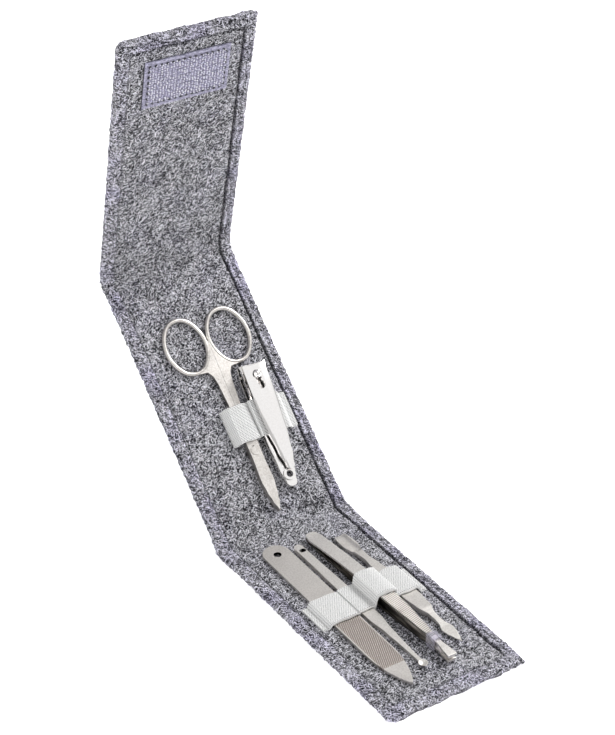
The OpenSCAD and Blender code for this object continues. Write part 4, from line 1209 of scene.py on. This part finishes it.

# %% [markdown]
# The tweezers' lower arm lies in the shadow of the upper one; back from the tips' sleeve its colour carries
# painted shade and dark painted reflections, in streaks.
# The sleeve is a clear plastic, so it stays a real glass-like shader with a plain transmission.

# %% Painted shade on the lower arm, and the clear sleeve
SHADE_FROM, SHADE_TO = -0.0395, -0.0365
inner_steel, tree, shader, where = new_material("inner_steel", Metallic=1.0)
grain = use_group(tree, steel_grain, Vector=where, Base=(0.78, 0.75, 0.72, 1), Rough=0.36, Spread=0.25)
split = add(tree, "ShaderNodeSeparateXYZ")
wire(tree, where, split.inputs[0])
streak = noise(tree, placed(tree, where, scale=(1, 0.12, 1)), 900, 2, 0.5)
# Painted shade and dark painted reflections, streaked along the arm, cover it from the sleeve back.
arm_shade = mixed(tree, between(tree, streak, 0.45, 0.7), (0.035, 0.03, 0.026, 1), (0.30, 0.27, 0.24, 1))
in_shade = times(tree, between(tree, split.outputs["Y"], SHADE_FROM, SHADE_TO), 0.95)
wire(tree, mixed(tree, in_shade, grain.outputs["Color"], arm_shade), shader.inputs["Base Color"])
wire(tree, grain.outputs["Roughness"], shader.inputs["Roughness"])
bumped(tree, shader, grain.outputs["Height"], 0.3, 0.00005)
sleeve_plastic = new_material("sleeve_plastic", Roughness=0.06, Base_Color=(0.93, 0.91, 1.0, 1),
                              Transmission_Weight=0.85, IOR=1.35)[0]
print("materials:", inner_steel.name, sleeve_plastic.name)

# %% Steel on the parts
FINISHES = {
    "nail_file": file_steel, "ear_pick": pick_satin, "cuticle_pusher": satin,
    "tweezers_lower_arm": inner_steel, "tweezers_upper_arm": grip_steel, "tweezers_tip_sleeve": sleeve_plastic,
    "scissors_right_half": satin_leaning, "scissors_left_half": satin_leaning, "scissors_rivet": satin_leaning,
    "clipper_lower_arm": bright_steel, "clipper_upper_arm": bright_steel, "clipper_eyelet": bright_steel,
    "clipper_post": bright_steel, "clipper_lever": bright_steel,
}
BEVELS = {"nail_file": 0.15, "ear_pick": 0.2, "cuticle_pusher": 0.3, "tweezers_lower_arm": 0.15,
          "tweezers_upper_arm": 0.15, "tweezers_tip_sleeve": 0.1, "clipper_lower_arm": 0.12,
          "clipper_upper_arm": 0.12, "clipper_lever": 0.14}
for name, finish in FINISHES.items():
    part = nodes[name]
    part.data.materials.clear()
    part.data.materials.append(finish)
    if name in BEVELS:
        weld = part.modifiers.new("weld", "WELD")
        weld.merge_threshold = 0.000005
        bevel = part.modifiers.new("soft_edges", "BEVEL")
        bevel.width = BEVELS[name] * MM
        bevel.segments = 2
        bevel.limit_method = "ANGLE"
        bevel.angle_limit = math.radians(38)
        bevel.use_clamp_overlap = True
print("parts in steel or plastic:", len(FINISHES), "with soft edges:", len(BEVELS))

# %% [markdown]
# A thin dark ring round the scissors' rivet stands for the shade in the gap round it; this is what makes the
# rivet show on the blade.

# %% Painted shade round the rivet
RING_PARTS, RING_SIDES = 64, 6


def shade_ring(name, around_part, thread, material):
    """A thin ring round the upper end of a round part, laid there as painted shade for the gap round it."""
    mesh = around_part.data
    top = max((face for face in mesh.polygons if face.normal.z > 0.5),
              key=lambda face: face.center @ face.normal)
    rim = [v.co for v in mesh.vertices if abs((v.co - top.center) @ top.normal) < 2e-5]
    middle = sum(rim, Vector()) / len(rim)
    radius = max((p - middle).length for p in rim) + thread * 0.4
    side = top.normal.orthogonal().normalized()
    turned = top.normal.cross(side)
    points, faces = [], []
    for i, a in enumerate(np.linspace(0, 2 * math.pi, RING_PARTS + 1)[:-1]):
        out = side * math.cos(a) + turned * math.sin(a)
        for j, b in enumerate(np.linspace(0, 2 * math.pi, RING_SIDES + 1)[:-1]):
            lift = thread * (math.sin(b) + 0.3)
            points.append(middle + out * (radius + thread * math.cos(b)) + top.normal * lift)
            k, after = (j + 1) % RING_SIDES, (i + 1) % RING_PARTS * RING_SIDES
            faces.append((i * RING_SIDES + j, i * RING_SIDES + k, after + k, after + j))
    return mesh_piece(name, points, faces, material, 60)


# Painted shade: a near-black thread ring stands for the shade in the gap round the rivet.
dark_seam = thread_material("dark_seam", (0.03, 0.027, 0.024, 1))
rivet_seam = shade_ring("rivet_seam", nodes["scissors_rivet"], 0.00019, dark_seam)
print("faces of the rivet's seam:", len(rivet_seam.data.polygons))

# %% [markdown]
# ## Floor and light
# A plain pale floor and soft white light, as in a small product studio. The key light is high on the
# right, so shadows fall to the left and below each tool.

# %% Floor
FLOOR_REACH, FLOOR_Z = 12, -0.0001
floor = mesh_piece("floor", [(x * FLOOR_REACH, y * FLOOR_REACH, FLOOR_Z)
                             for x, y in ((-1, -1), (1, -1), (1, 1), (-1, 1))], [(0, 1, 2, 3)])
floor_paint = new_material("floor_paint", Base_Color=(0.93, 0.93, 0.93, 1), Roughness=0.9,
                           Emission_Color=(1, 1, 1, 1), Emission_Strength=0.65)[0]
floor.data.materials.append(floor_paint)

# %% World and lights
WORLD_STRENGTH = 0.54
world = bpy.data.worlds.new("studio")
world.use_nodes = True
world.node_tree.nodes["Background"].inputs["Color"].default_value = (1, 1, 1, 1)
world.node_tree.nodes["Background"].inputs["Strength"].default_value = WORLD_STRENGTH
bpy.context.scene.world = world
AIM = Vector((0, 0.06, 0.06))


def soft_light(name, place, size, power):
    """A square white light that looks at the case."""
    data = bpy.data.lights.new(name, "AREA")
    data.shape, data.size, data.energy = "SQUARE", size, power
    made = bpy.data.objects.new(name, data)
    made.location = place
    made.rotation_euler = (AIM - Vector(place)).to_track_quat("-Z", "Y").to_euler()
    bpy.context.scene.collection.objects.link(made)


soft_light("key_light", (0.85, 0.05, 0.95), 0.3, 13)
soft_light("front_panel", (0.62, -0.6, 0.98), 1.36, 2.2)
soft_light("left_panel", (-0.9, -0.3, 0.5), 1.2, 3.4)
print("lights:", [light.name for light in bpy.data.lights])

# %% [markdown]
# ## Felt in place, the rest on its body
# The felt, its fibres and its seams keep their places, baked into their meshes, and the packed felt parts are
# hidden. Bands, tapes and threads each ride on one body; the packed bands and patches are hidden. The cloth is
# also declared with
# the size that it was cut to.

# %% Felt in place
for span, piece in enumerate(outer_pieces):
    bend_with_span(piece)
    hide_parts(*[body + "_outer" for body in STANDS_FOR[span]])
for span, piece in enumerate(lining_pieces):
    bend_with_span(piece)
    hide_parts(*[body + "_lining" for body in STANDS_FOR[span]])
for piece, span, kind in fuzz_pieces:
    bend_with_span(piece)
for piece, span in seam_pieces:
    bend_with_span(piece)
print("pieces that bend:", len(outer_pieces + lining_pieces + fuzz_pieces + seam_pieces))

# %% Bands, tapes and threads on their bodies
for piece, body, slot, held, stands_for, flat in (
        (lower_band, "lower_panel", "elastic", "stretched", "lower_elastic", (0.016, 0.066)),
        (middle_band, "middle_panel", "elastic", "stretched", "middle_elastic", (0.016, 0.045)),
        (hook_tape, "flap", "patch", "laid", "hook_patch", (0.0386, 0.0215)),
        (loop_tape, "lower_panel", "patch", "laid", "loop_patch", (0.0386, 0.0215))):
    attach(piece, body)
    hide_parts(stands_for)
for piece, body, slot in (
        (lower_tacks, "lower_panel", "elastic"), (middle_tacks, "middle_panel", "elastic"),
        (hooks, "flap", "patch"), (loops, "lower_panel", "patch"), (patch_stitches, "flap", "patch"),
        (rivet_seam, "scissors", "satin_steel")):
    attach(piece, body)
